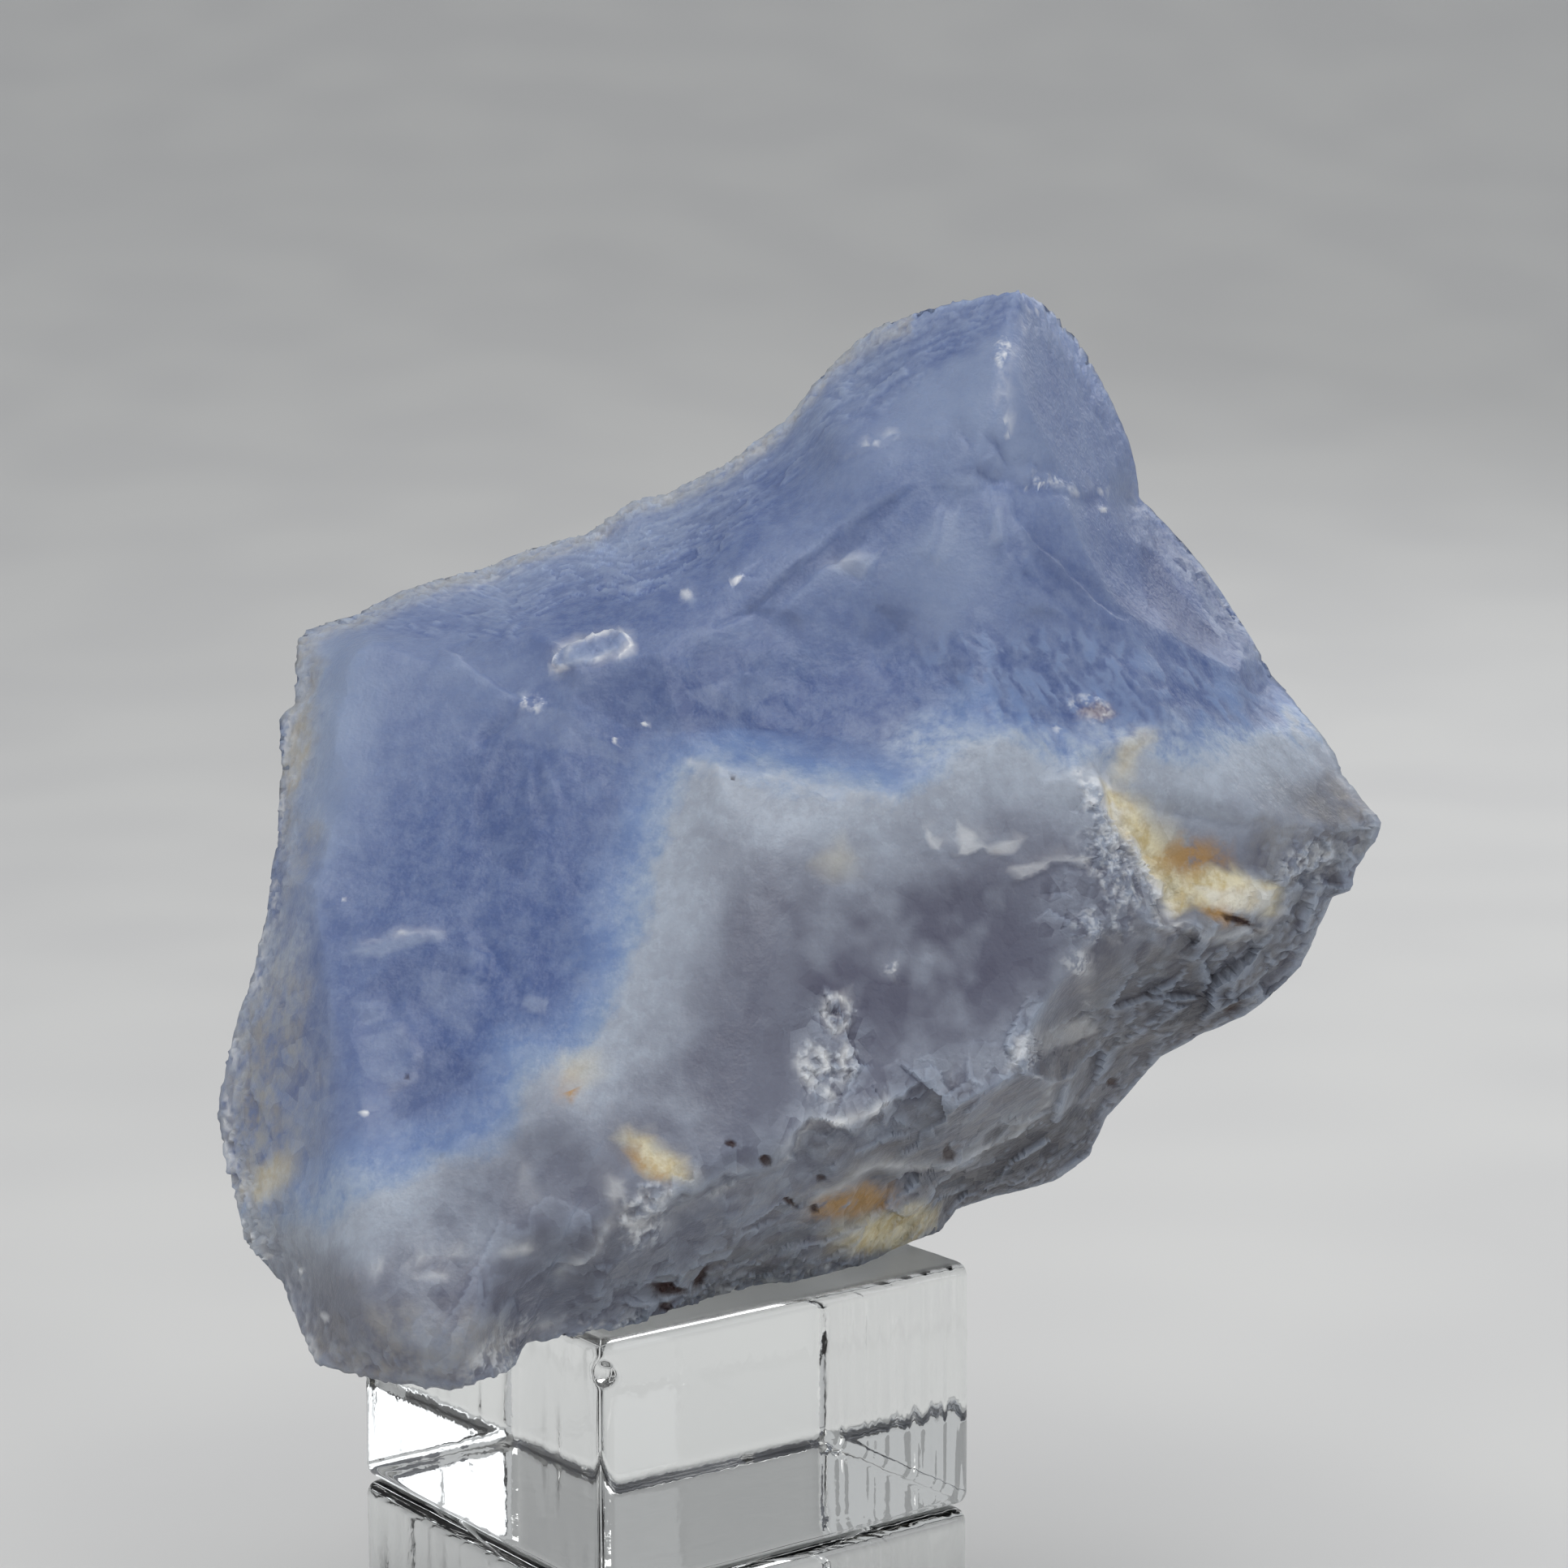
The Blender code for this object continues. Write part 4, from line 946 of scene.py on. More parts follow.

# %% [markdown]
# ## Bright edges, crumbs and painted glints
#
# The near white on thin edges, crumbs and tiny faces is partly the white of crystal rims and crumbs,
# and partly painted highlight: the light that a fresh, thin edge of quartz catches, and the flash of a
# few tiny faces. Loose crumbs lie along the ridges. An edge is a line whose strength falls off within
# a fraction of a millimetre. Crumbs are the same, seen through a fine noise that leaves only specks.
# Some flat faces are painted as shining plates, and the glints are very small patches. All of it is
# painted weaker where the surface turns away from the eye.

# %% Edges, crumbs and glints
# Thin bright edges, white crystal rims and painted highlights on ledges: strength, reach and places.
BRIGHT_EDGES = (
    (0.9, 0.35, ((-10.5, -31), (-8, -29.8), (-5, -28.8), (-2.7, -27.8), (-0.4, -26.8), (0.8, -25.3),
                 (2.3, -23.8), (5, -23.8), (7, -22.6))),
    (0.8, 0.35, ((2.5, -28.8), (4.6, -28.1), (6.4, -27.0), (12.3, -26.8), (14.2, -25.6), (16.8, -23.8),
                 (18.8, -22.3), (19.2, -20.6))),
    (0.4, 0.25, ((-6.8, 1.3), (-1.2, 0.8), (1.4, 0), (7.5, -1))),
    (0.9, 0.3, ((22.1, 0.2), (23.7, -2.7), (25.3, -5.9), (26.7, -9.1))),
    (0.7, 0.25, ((26.8, -9.2), (29.7, -10.6), (31.5, -10.9), (33.7, -10.1), (35.2, -7.3))),
    (0.6, 0.25, ((21.1, -11.4), (21.2, -13.5), (21.1, -15.6))),
    (0.6, 0.3, ((16.2, -19.6), (17.5, -18.2), (18.8, -17.2), (21.5, -16.6))),
    (0.45, 0.2, ((-29.5, -11.4), (-28, -10.9), (-24, -10.4))),
    (0.25, 0.2, ((-27.3, -17.2), (-25.8, -18.6), (-25.7, -20.2), (-27.8, -21.4))),
    (0.5, 0.3, ((3.6, 15.6), (5.0, 15.9), (6.6, 15.2))),
    (0.6, 0.4, ((-12.2, -27.6), (-12.0, -29.5), (-10.5, -31.4), (-8.6, -30.8), (-8.2, -28.6))),
    (0.5, 0.35, ((-12.2, -31.1), (-13.6, -32.8), (-15.5, -34.3))),
    (0.4, 0.3, ((-22.5, -41.6), (-20.7, -39.6), (-18.5, -38.4), (-15.5, -37.8))),
    (0.6, 0.3, ((-27, -33.9), (-25.5, -33.2), (-22.4, -32.6))),
    (0.5, 0.25, ((-26, -34.9), (-23, -34.2))),
    (0.6, 0.25, ((-19.9, -32.8), (-17.7, -32.7))),
    (0.4, 0.4, ((-30.8, -35), (-27, -33.4), (-25.4, -31.7))),
    (0.4, 0.35, ((-18.6, -27.2), (-18.2, -28.9), (-16.9, -29.6))),
    (0.7, 0.2, ((4.7, -15.6), (4.0, -15.1), (3.0, -15.5), (2.7, -16.6), (3.4, -17.4), (4.4, -17.0),
                (4.7, -15.6))),
    (0.9, 0.22, ((1.0, -18.9), (0.9, -19.9), (1.7, -20.9), (2.6, -21.3), (3.4, -22.2))),
    (0.9, 0.2, ((1.6, -18.6), (2.6, -18.9), (2.9, -19.9), (2.0, -20.3), (1.4, -19.5), (1.6, -18.6))),
    (0.8, 0.2, ((4.4, -18.3), (4.0, -19.4), (4.6, -20.3), (3.9, -21.2))),
    (0.6, 0.25, ((-11.7, -28.0), (-10.9, -29.6), (-9.6, -28.8), (-9.0, -30.4), (-10.6, -31.4))),
    (1.0, 0.14, ((-16.5, 8.3), (-15.8, 9.8), (-13.5, 10.2), (-11.2, 10.7), (-10.7, 9.8), (-11.8, 9.0),
                 (-14.1, 8.5), (-16.3, 8.1), (-16.5, 8.3))),
    (0.8, 0.15, ((-15.4, 9.8), (-15.1, 9.2), (-15.0, 8.5))),
)
# Rows of loose crumbs, with the same three facts.
CRUMB_ROWS = (
    (1.0, 0.2, ((17.5, 33.6), (16.2, 31.5), (15.6, 29.5), (15.7, 27.6), (15.7, 24.5))),
    (0.8, 0.12, ((16.6, 20.8), (18.5, 21.0), (20.5, 20.7), (22.9, 20.5))),
    (0.6, 0.25, ((5.6, 24.1), (6.8, 24.5), (8.2, 24.8))),
    (0.8, 0.5, ((-34.8, 9.8), (-35.0, 6.0), (-35.6, 2.0), (-35.5, -3.0), (-36.0, -9.0), (-37.5, -14))),
    (0.7, 0.5, ((-38.5, -18), (-39.5, -24), (-38.2, -30), (-35.5, -35), (-33, -40))),
    (0.45, 0.25, ((-26.0, 12.8), (-20.8, 14.4), (-13.9, 16.9), (-9.0, 19.6), (-3.8, 21.9),
                  (0.1, 24.8))),
    (0.8, 0.3, ((25.1, 20.0), (27.8, 17.0), (30.0, 14.2), (33.2, 9.2))),
    (0.9, 0.4, ((22.6, 0.4), (23.9, -2.4), (25.2, -5.0), (26.2, -7.6), (27.6, -9.6))),
    (0.6, 0.5, ((-19, -41.0), (-15, -38.6), (-9, -37.8), (-3, -35.4), (4, -34.0))),
)
# Flat faces painted near white as plates, partly pale stone and partly painted sheen.
WHITE_PLATES = (
    (0.4, (28.5, -7.2), (34.5, -7.6), (33.8, -9.6), (30.7, -8.9)),
    (0.4, (12.1, -4.3), (12.2, -2.8), (13.5, -3.5), (14.0, -4.4), (12.4, -5.3)),
    (0.4, (13.9, -4.3), (16.7, -3.9), (16.5, -4.6), (14.8, -5.0)),
    (0.35, (16.2, -5.7), (18.2, -5.5), (18.3, -6.0), (16.4, -6.7)),
    (0.3, (18.0, -5.3), (21.7, -5.1), (21.5, -5.6), (18.7, -5.7)),
    (0.4, (9.8, -3.2), (11.1, -4.1), (10.7, -4.6), (9.9, -4.1)),
    (0.4, (16.3, -19.4), (16.2, -18.1), (17.8, -16.8), (18.5, -17.4), (18.0, -18.7)),
    (0.4, (17.8, -17.9), (21.7, -16.4), (22.1, -17.3), (18.2, -19.0)),
)
# Painted glints, tiny faces that flash: strength, half length, half width, turn and middle.
GLINTS = (
    (0.9, 0.24, 0.16, 0, (-29.5, -23.2)), (1.0, 0.24, 0.18, 0, (22.5, 19.3)),
    (0.8, 0.22, 0.14, 20, (19.2, 3.9)), (0.8, 0.22, 0.12, -20, (-9.8, 4.2)),
    (0.8, 0.12, 0.22, 0, (-11.9, 3.1)), (0.6, 0.12, 0.22, -20, (-30.9, -8.2)),
    (0.7, 0.25, 0.2, 0, (-34, -34.2)), (0.7, 0.25, 0.22, 0, (-32.3, -37.5)),
    (0.7, 0.3, 0.14, 0, (18.0, -20.6)), (0.9, 0.5, 0.12, 35, (-3.3, 14.3)),
    (0.6, 0.4, 0.35, 0, (-6.9, 13.4)),
)


def along_lines(listed, share):
    """The strongest line at each point: strength times share, falling off by its reach."""
    strongest = np.zeros(len(skin_places))
    for strength, reach, line in listed:
        distance, _, _, _ = beside_line(jittered, line)
        strongest = np.maximum(strongest, strength * share * np.exp(-distance / reach))
    return strongest


bright = along_lines(BRIGHT_EDGES, 1)
bright = np.clip(bright * on_face * (0.6 + 0.6 * rough_noise(skin_points, 1.2, 497)), 0, 1)
specks = smooth_step(0.5 + 3 * (rough_noise(skin_points, 0.6, 501, 2) - 0.3))
bright = np.maximum(bright, along_lines(CRUMB_ROWS, on_face * specks))
# The glints are painted highlights, and every bright mark is painted weaker where the surface turns from the
# eye.
glints = patches(GLINTS, 0.5, 0.1) * on_face
bright = np.maximum(bright, np.maximum(glints, plates(WHITE_PLATES, 0.12))) * (0.25 + 0.75 * to_eye)
print(len(BRIGHT_EDGES), "bright edges,", len(CRUMB_ROWS), "rows of crumbs,", len(GLINTS), "glints")

# %% [markdown]
# ## Dark facets and cracks
#
# The counterpart of what shines: facets that show the dark depth of the stone, and cracks, which are
# darkest in their middle and thin out to both ends. Their darkness is partly the stone's own and partly
# painted shade, under steps and in cracks, and it is laid on as the shade of a hollow.

# %% Dark facets and cracks
# Dark facets, partly the stone's dark depth and partly painted shade: strength, then corners clockwise.
DARK_PLATES = (
    (0.6, (-3.4, 11.9), (-2.6, 13.1), (7.8, 20.4), (8.2, 19.6), (0.9, 14.2)),
    (0.5, (16.2, 17.7), (17.8, 17.4), (24.9, 12.7), (25.9, 10.8), (22.6, 12.4), (17.6, 15.8)),
    (0.5, (-15.9, 7.9), (-8.9, 9.0), (-5, 6.8), (0, 3.7), (-10.4, 3.7), (-14.2, 5.6)),
    (0.35, (-22.4, 1.8), (-19.6, 3.6), (-16.5, -1.5), (-18.5, -7.0), (-21.5, -4.0)),
    (0.4, (-27.5, -12.6), (-22.2, -11.6), (-22.2, -13.6), (-25.4, -16.2), (-30.2, -14.8)),
    (0.5, (-28.0, -21.5), (-24.5, -18.0), (-21.0, -20.0), (-27.5, -24.0)),
    (0.3, (11.4, 26.0), (13.5, 26.0), (13.5, 23.0), (11.4, 23.5)),
    (0.4, (6.2, 12.6), (9.0, 12.2), (8.4, 10.2), (6.8, 10.4)),
    (0.4, (-6.0, 10.3), (-1.0, 8.6), (-2.2, 8.0), (-7.0, 6.4)),
)
# Cracks, with painted shade in them: strength, half width and places.
DARK_LINES = (
    (1.0, 0.28, ((13.8, 24.9), (14.9, 23.8), (15.9, 22.3))),
    (0.9, 0.2, ((12.0, 24.7), (12.6, 24.1), (13.1, 23.7))),
    (0.9, 0.25, ((12.2, 21.8), (13.6, 22.0), (14.5, 21.5), (15.8, 21.2))),
    (0.6, 0.2, ((2.8, 16.3), (4.3, 15.2), (5.8, 14.3))),
    (0.5, 0.2, ((6.5, 12.4), (7.4, 11.4), (8.4, 10.3))),
    (0.7, 0.55, ((-2.6, 11.6), (0.2, 14.0), (3.0, 16.1), (5.4, 17.5), (8, 19.3))),
    (0.7, 0.9, ((16.4, 18.6), (17.6, 16.6), (20.0, 14.4), (22.8, 11.4))),
    (0.6, 0.5, ((-18.9, 5.2), (-19.9, 3.9), (-21.6, 2.6))),
    (0.8, 0.3, ((25.6, 18.0), (26.3, 17.3), (26.6, 16.4))),
)
CRACK_END = 0.3  # share of a crack over which it thins out at each end

dark_shapes = [*DARK_PLATES, *((0.8, *corners) for corners in CRESCENTS)]
dark = plates(dark_shapes + [(1.0, *corners) for corners in SHADED_FACETS])
for strength, reach, line in DARK_LINES:
    distance, _, travelled, length = beside_line(jittered, line)
    taper = smooth_step(np.minimum(travelled, length - travelled) / (CRACK_END * length))
    dark = np.maximum(dark, strength * on_face * taper * np.exp(-((distance / reach) ** 2)))
print(len(dark_shapes) + len(SHADED_FACETS), "dark plates and", len(DARK_LINES), "cracks")

# %% [markdown]
# ## Finish the skin
#
# The points are pushed out by the fine relief. A point that then stands above a smoothed copy of the
# skin is on a crest, and one below it is in a hollow. Crests get a painted highlight and hollows a
# painted shade, so both become strengths as well, and the dark facets and cracks join the painted
# shade. What hangs below the resting face is lifted onto it, which cuts the stone flat where it
# stands. All the strengths are then written into the mesh.

# %% Push out and rest
CREST_HEIGHT = 0.07  # millimetres that a full crest stands above the skin around it

# Shining edges, glints and pale plates stand out a little, rust and dark cracks lie deeper.
fine += 0.06 * bright - 0.15 * rust + 0.08 * glints + 0.1 * pale_plates - 0.06 * dark
relief = skin_points + outward * fine[:, None]
gentle = np.column_stack([smoothed(relief[:, way], 4) for way in range(3)])
crest = ((relief - gentle) * outward).sum(axis=1) / CREST_HEIGHT
# The edge strength is a painted highlight on crests, and the hollow strength a painted shade.
edge = np.maximum(pale_plates, np.clip(crest, 0, 1) * (0.2 + 0.8 * rough))
hollow_shade = np.maximum(dark, np.clip(-crest, 0, 1) * (0.25 + 0.45 * rough) * (1 - 0.6 * crystals))
white = crystals * np.clip(0.25 + 1.3 * np.clip(crest, 0, 1), 0, 1)
relief[:, 2] = np.maximum(relief[:, 2], (STONE_FLOOR - STONE_MIDDLE[2]) / MM)
stone_mesh.vertices.foreach_set("co", (relief * MM + STONE_MIDDLE).astype(np.float32).ravel())
zones = {
    "milk": milk, "core": core, "deep": deep, "pale": pale, "rind": rind,
    "yellow": yellow, "orange": orange, "rust": rust, "white": white, "rough": rough,
    "smoke_and_shade": smoke_and_shade, "bright": bright, "feather": feather, "band": band * on_face,
    "edge": edge, "hollow_shade": hollow_shade, "fibre": fibre, "frost": frost,
}
for name, strength in zones.items():
    stone_mesh.attributes.new(name, "FLOAT", "POINT").data.foreach_set("value", strength.astype(np.float32))
stone_mesh.update()
print(len(zones), "zones in the mesh")

# %% [markdown]
# ## Fewer triangles
#
# The net is far finer than a flat facet needs, so a Decimate modifier merges the triangles that add
# least, and keeps the small ones where the relief is busy. It carries the strengths along. Rubble
# has flat faces with sharp steps between them, so the rough parts are shaded flat and the rest
# smooth.

# %% Thin and shade
TRIANGLES_KEPT = 190000
FLAT_FROM = 0.5  # how rough a triangle is to be shaded flat

stone = bpy.data.objects.new("broken agate", stone_mesh)
bpy.context.scene.collection.objects.link(stone)
thin = stone.modifiers.new("merge flat triangles", "DECIMATE")
thin.ratio = TRIANGLES_KEPT / (2 * len(skin_quads))
thinned = stone.evaluated_get(bpy.context.evaluated_depsgraph_get())
stone.data = bpy.data.meshes.new_from_object(thinned)
stone.modifiers.clear()
stone.name = "broken_agate"

kept_rough = np.empty(len(stone.data.vertices), np.float32)
stone.data.attributes["rough"].data.foreach_get("value", kept_rough)
starts = np.empty(len(stone.data.polygons), np.int32)
stone.data.polygons.foreach_get("loop_start", starts)
corners = np.empty(len(stone.data.loops), np.int32)
stone.data.loops.foreach_get("vertex_index", corners)
stone.data.polygons.foreach_set("use_smooth", kept_rough[corners[starts]] < FLAT_FROM)
print("stone:", sum(len(face.vertices) - 2 for face in stone.data.polygons), "triangles")

# %% [markdown]
# ## Helpers for materials
#
# A material is a small network. One helper adds a node and fills its inputs, either with a value or
# with another node's output, so that each material reads like a recipe. A colour is three numbers,
# red, green and blue. Every pattern below reads Object coordinates in metres or one of the stone's
# attributes, so it stays on the stone.

# %% Material helpers


def fill(tree, socket, value):
    """Links the value if it comes from another node, and otherwise sets it."""
    if isinstance(value, bpy.types.NodeSocket):
        tree.links.new(value, socket)
    else:
        socket.default_value = value


def add_node(tree, kind, inputs, **settings):
    """A node of this kind with its settings, its inputs filled by name or number."""
    made = tree.nodes.new(kind)
    for name, value in settings.items():
        setattr(made, name, value)
    for socket, value in inputs.items():
        fill(tree, made.inputs[socket], value)
    return made


def blend(tree, amount, first, second, way="MIX"):
    """Colour between the first and the second, by the amount."""
    made = add_node(tree, "ShaderNodeMix", {0: amount}, data_type="RGBA", blend_type=way)
    for socket, colour in ((6, first), (7, second)):
        fill(tree, made.inputs[socket], (*colour, 1) if isinstance(colour, tuple) else colour)
    return made.outputs[2]


def lay_over(tree, colour, layers):
    """The colour with each layer laid over it in turn. A layer is how much of it, and its colour."""
    for amount, over in layers:
        colour = blend(tree, amount, colour, over)
    return colour


def maths(tree, operation, first, *others):
    """The values joined one after another by this operation, such as a sum or the largest."""
    for other in others:
        first = add_node(tree, "ShaderNodeMath", {0: first, 1: other}, operation=operation).outputs[0]
    return first


def grain(tree, size, detail, roughness=0.55):
    """Noise from 0 to 1 whose swells are this many millimetres long."""
    place = add_node(tree, "ShaderNodeTexCoord", {}).outputs["Object"]
    inputs = {"Vector": place, "Scale": 1 / (size * MM), "Detail": detail, "Roughness": roughness}
    return add_node(tree, "ShaderNodeTexNoise", inputs).outputs["Fac"]


def stretch(tree, value, low, high):
    """0 below low, 1 above high, and even between."""
    inputs = {"Value": value, "From Min": low, "From Max": high}
    return add_node(tree, "ShaderNodeMapRange", inputs, clamp=True).outputs["Result"]


def zone(tree, name):
    """The strength of one of the stone's zones."""
    return add_node(tree, "ShaderNodeAttribute", {}, attribute_name=name).outputs["Fac"]


def ramp(tree, value, stops):
    """Colours along the way from 0 to 1."""
    made = add_node(tree, "ShaderNodeValToRGB", {"Fac": value})
    points = made.color_ramp.elements
    while len(points) < len(stops):
        points.new(0.5)
    for point, (position, colour) in zip(points, stops):
        point.position = position
        point.color = (*colour, 1)
    return made.outputs["Color"]


def new_material(name):
    """An empty material's node tree, with its Principled shader."""
    material = bpy.data.materials.new(name)
    material.use_nodes = True
    return material, material.node_tree, material.node_tree.nodes["Principled BSDF"]


print("helpers ready")

# %% [markdown]
# ## Crystal facets
#
# Where the stone is crystalline, it is made of facets too small for the mesh. Noise alone would look
# like sand. A pattern of cells gives each facet its own tilt and its own shade, so that neighbours
# differ at a sharp border, the way that broken quartz does.

# %% Crystal facets


def broken_facets(tree, size):
    """Flat facets of random tilt, each about this many millimetres across, and a shade for each.

    A pattern of cells gives the middle of the nearest facet and a random colour. The colour, less
    a half, is taken as the facet's slope, so the height is the slope times the way from its middle.
    """
    inputs = {"Vector": add_node(tree, "ShaderNodeTexCoord", {}).outputs["Object"], "Scale": (1, 0.55, 1)}
    squeezed = add_node(tree, "ShaderNodeMapping", inputs, vector_type="POINT").outputs["Vector"]
    cells = add_node(tree, "ShaderNodeTexVoronoi", {"Vector": squeezed, "Scale": 1 / (size * MM)})
    way = {0: squeezed, 1: cells.outputs["Position"]}
    from_middle = add_node(tree, "ShaderNodeVectorMath", way, operation="SUBTRACT").outputs["Vector"]
    inputs = {0: cells.outputs["Color"], 1: (0.5, 0.5, 0.5)}
    slope = add_node(tree, "ShaderNodeVectorMath", inputs, operation="SUBTRACT").outputs["Vector"]
    inputs = {0: from_middle, 1: slope}
    height = add_node(tree, "ShaderNodeVectorMath", inputs, operation="DOT_PRODUCT").outputs["Value"]
    shade = add_node(tree, "ShaderNodeSeparateColor", {"Color": cells.outputs["Color"]}).outputs["Red"]
    return height, shade


print("facets ready")

# %% [markdown]
# ## The blue body
#
# Chalcedony is a mass of quartz fibres too small to see. They scatter blue light back and let red
# light through, so the body looks blue. One blue would look like paint. Here slow noise brings paler
# clouds, the pale and deep zones come next, and the streaks of the band and the feathers take their
# colour from the same fibres that shaped them: deeper blue where the relief drops and paler where it
# rises, which is partly painted shade and light. A fine mottle goes over it all.

# %% The blue body
BLUE = (0.113, 0.155, 0.303)
DEEP_BLUE = (0.061, 0.099, 0.246)
PALE_BLUE = (0.24, 0.3, 0.437)


def blue_body(tree, clouds, fibres):
    """Blue under clouds, pale and deep zones, streaks by fibre in the band and feathers, and mottle."""
    streaks = ramp(tree, fibres, ((0.1, DEEP_BLUE), (0.5, BLUE), (0.9, PALE_BLUE)))
    mottle = stretch(tree, grain(tree, 1.6, 4.0, 0.76), 0.4, 0.62)
    return lay_over(tree, BLUE, (
        (maths(tree, "MULTIPLY", stretch(tree, clouds, 0.35, 0.65), 0.35), PALE_BLUE),
        (zone(tree, "pale"), PALE_BLUE),
        (zone(tree, "deep"), DEEP_BLUE),
        (maths(tree, "MULTIPLY", zone(tree, "band"), 0.5), streaks),
        (maths(tree, "MULTIPLY", zone(tree, "feather"), 0.5), streaks),
        (maths(tree, "MULTIPLY", mottle, 0.32), PALE_BLUE),
    ))


print("blue ready")

# %% [markdown]
# ## From blue to milk
#
# Blue does not fade straight to grey. It first turns a clear azure, then a light blue, then milk.
# The strength of the milk, frayed by flecks and combed by the fibres of the feathers, picks the
# colour along that way. Frosty haze and thin veils lie in the milk, and the mauve core shows
# through where it is clearer.

# %% From blue to milk
SKY_BLUE = (0.13, 0.205, 0.4)
LIGHT_BLUE = (0.205, 0.28, 0.425)
MILKY = (0.285, 0.317, 0.382)
FROST = (0.40, 0.455, 0.545)
MAUVE = (0.076, 0.078, 0.122)


def milky_part(tree, body, flecks, fibres):
    """Azure, light blue and milk as the frayed strength of milk grows, then haze, veils and core."""
    in_feathers = maths(tree, "MULTIPLY", zone(tree, "feather"), 0.5)
    ragged = maths(tree, "MULTIPLY", maths(tree, "SUBTRACT", flecks, 0.5), 0.35)
    combed = maths(tree, "MULTIPLY", maths(tree, "SUBTRACT", fibres, 0.5), in_feathers)
    frayed = maths(tree, "ADD", zone(tree, "milk"), ragged, combed)
    haze = stretch(tree, grain(tree, 3.2, 3.0, 0.68), 0.46, 0.7)
    veils = stretch(tree, grain(tree, 1.1, 3.0, 0.78), 0.5, 0.66)
    core = stretch(tree, grain(tree, 5, 2.0, 0.6), 0.1, 0.5)
    return lay_over(tree, body, (
        (stretch(tree, frayed, 0.0, 0.5), SKY_BLUE),
        (stretch(tree, frayed, 0.45, 0.75), LIGHT_BLUE),
        (stretch(tree, frayed, 0.72, 0.92), MILKY),
        (maths(tree, "MULTIPLY", zone(tree, "milk"), haze, 0.5), FROST),
        (maths(tree, "MULTIPLY", zone(tree, "milk"), veils, 0.45), FROST),
        (maths(tree, "MULTIPLY", zone(tree, "frost"), stretch(tree, flecks, 0.3, 0.66)), FROST),
        (maths(tree, "MULTIPLY", zone(tree, "core"), core), MAUVE),
    ))


print("milk ready")

# %% [markdown]
# ## Rind, facets, smoke and stains
#
# These lie on top of blue and milk. The rind is patchy, grey to tan. Each small facet has its own
# shade, from mauve to frost, and the smoky parts darken them, which low on the right is partly painted
# shade. Iron comes last: it soaks into everything, cream where it is faint, yellow and then orange
# where it is strong.

# %% Rind, facets, smoke and stains
RIND = (0.282, 0.286, 0.286)
TAN = (0.31, 0.282, 0.222)
# SMOKE is the colour of smoky stone, and it also paints shade low on the right.
SMOKE = (0.056, 0.050, 0.054)
CREAM = (0.8, 0.72, 0.47)
YELLOW = (0.62, 0.485, 0.205)
ORANGE = (0.38, 0.2, 0.032)


def broken_part(tree, colour, clouds, blots, facet_shade, crystalline):
    """Patchy rind, shaded facets, smoke with painted shade, and iron stains laid over the colour."""
    rind_colour = ramp(tree, grain(tree, 2.5, 3.0, 0.6), ((0.35, RIND), (0.62, TAN)))
    patchy = stretch(tree, grain(tree, 1.6, 3.0, 0.65), 0.3, 0.6)
    own_shade = maths(tree, "MULTIPLY", facet_shade, 0.6)
    shades = maths(tree, "ADD", own_shade, maths(tree, "MULTIPLY", blots, 0.4))
    facet_colour = ramp(tree, shades, ((0.2, MAUVE), (0.5, MILKY), (0.8, FROST)))
    stain = ramp(tree, blots, ((0.45, CREAM), (0.62, YELLOW)))
    return lay_over(tree, colour, (
        (maths(tree, "MULTIPLY", zone(tree, "rind"), patchy, 0.75), rind_colour),
        (maths(tree, "MULTIPLY", crystalline, 0.5), facet_colour),
        (maths(tree, "MULTIPLY", zone(tree, "smoke_and_shade"), stretch(tree, clouds, 0.0, 0.35), 0.8), SMOKE),
        (maths(tree, "MULTIPLY", zone(tree, "yellow"), 0.85), stain),
        (maths(tree, "MULTIPLY", zone(tree, "orange"), stretch(tree, blots, 0.3, 0.5)), ORANGE),
    ))


print("broken parts ready")

# %% [markdown]
# ## Crystals, hollows, edges and rust
#
# The last marks are the smallest. White crystals sparkle in specks. Hollows get a painted shade: their
# colour is multiplied by a bluish shade. Crests get a painted highlight, a thin light rim. The bright
# edges and painted glints are nearly white, and rust covers everything.

# %% Crystals, hollows, edges and rust
# The white of crystals, also used for the painted highlights of bright edges and glints.
CRYSTAL_AND_HIGHLIGHT_WHITE = (0.74, 0.75, 0.76)
# SHADE paints shade into hollows, dark facets and cracks; RIM_LIGHT paints a highlight on crests.
SHADE = (0.38, 0.42, 0.55)  # what a hollow keeps of its colour
RIM_LIGHT = (0.35, 0.41, 0.52)
RUST = (0.022, 0.004, 0.003)


def small_marks(tree, colour):
    """White crystals, painted shade in hollows, painted highlights on crests, bright edges and painted
    glints, and rust, in turn.
    """
    sparkle = stretch(tree, grain(tree, 0.8, 2.0, 0.7), 0.44, 0.6)
    colour = blend(tree, maths(tree, "MULTIPLY", zone(tree, "white"), sparkle), colour, CRYSTAL_AND_HIGHLIGHT_WHITE)
    colour = blend(tree, maths(tree, "MULTIPLY", zone(tree, "hollow_shade"), 0.6), colour, SHADE, "MULTIPLY")
    return lay_over(tree, colour, (
        (maths(tree, "MULTIPLY", zone(tree, "edge"), 0.5), RIM_LIGHT),
        (zone(tree, "bright"), CRYSTAL_AND_HIGHLIGHT_WHITE),
        (zone(tree, "rust"), RUST),
    ))


print("marks ready")

# %% [markdown]
# ## The stone's surface and its depth
#
# A broken surface is waxy: pores, flecks and facets are three bumps, each standing on the one
# before. Light also goes in, scatters and comes out a millimetre or two away, red further than blue,
# which makes thin edges glow. That is subsurface scattering, here by the shader's quicker method. It
# is weaker where the stone is rough or stained, because those parts are opaque.

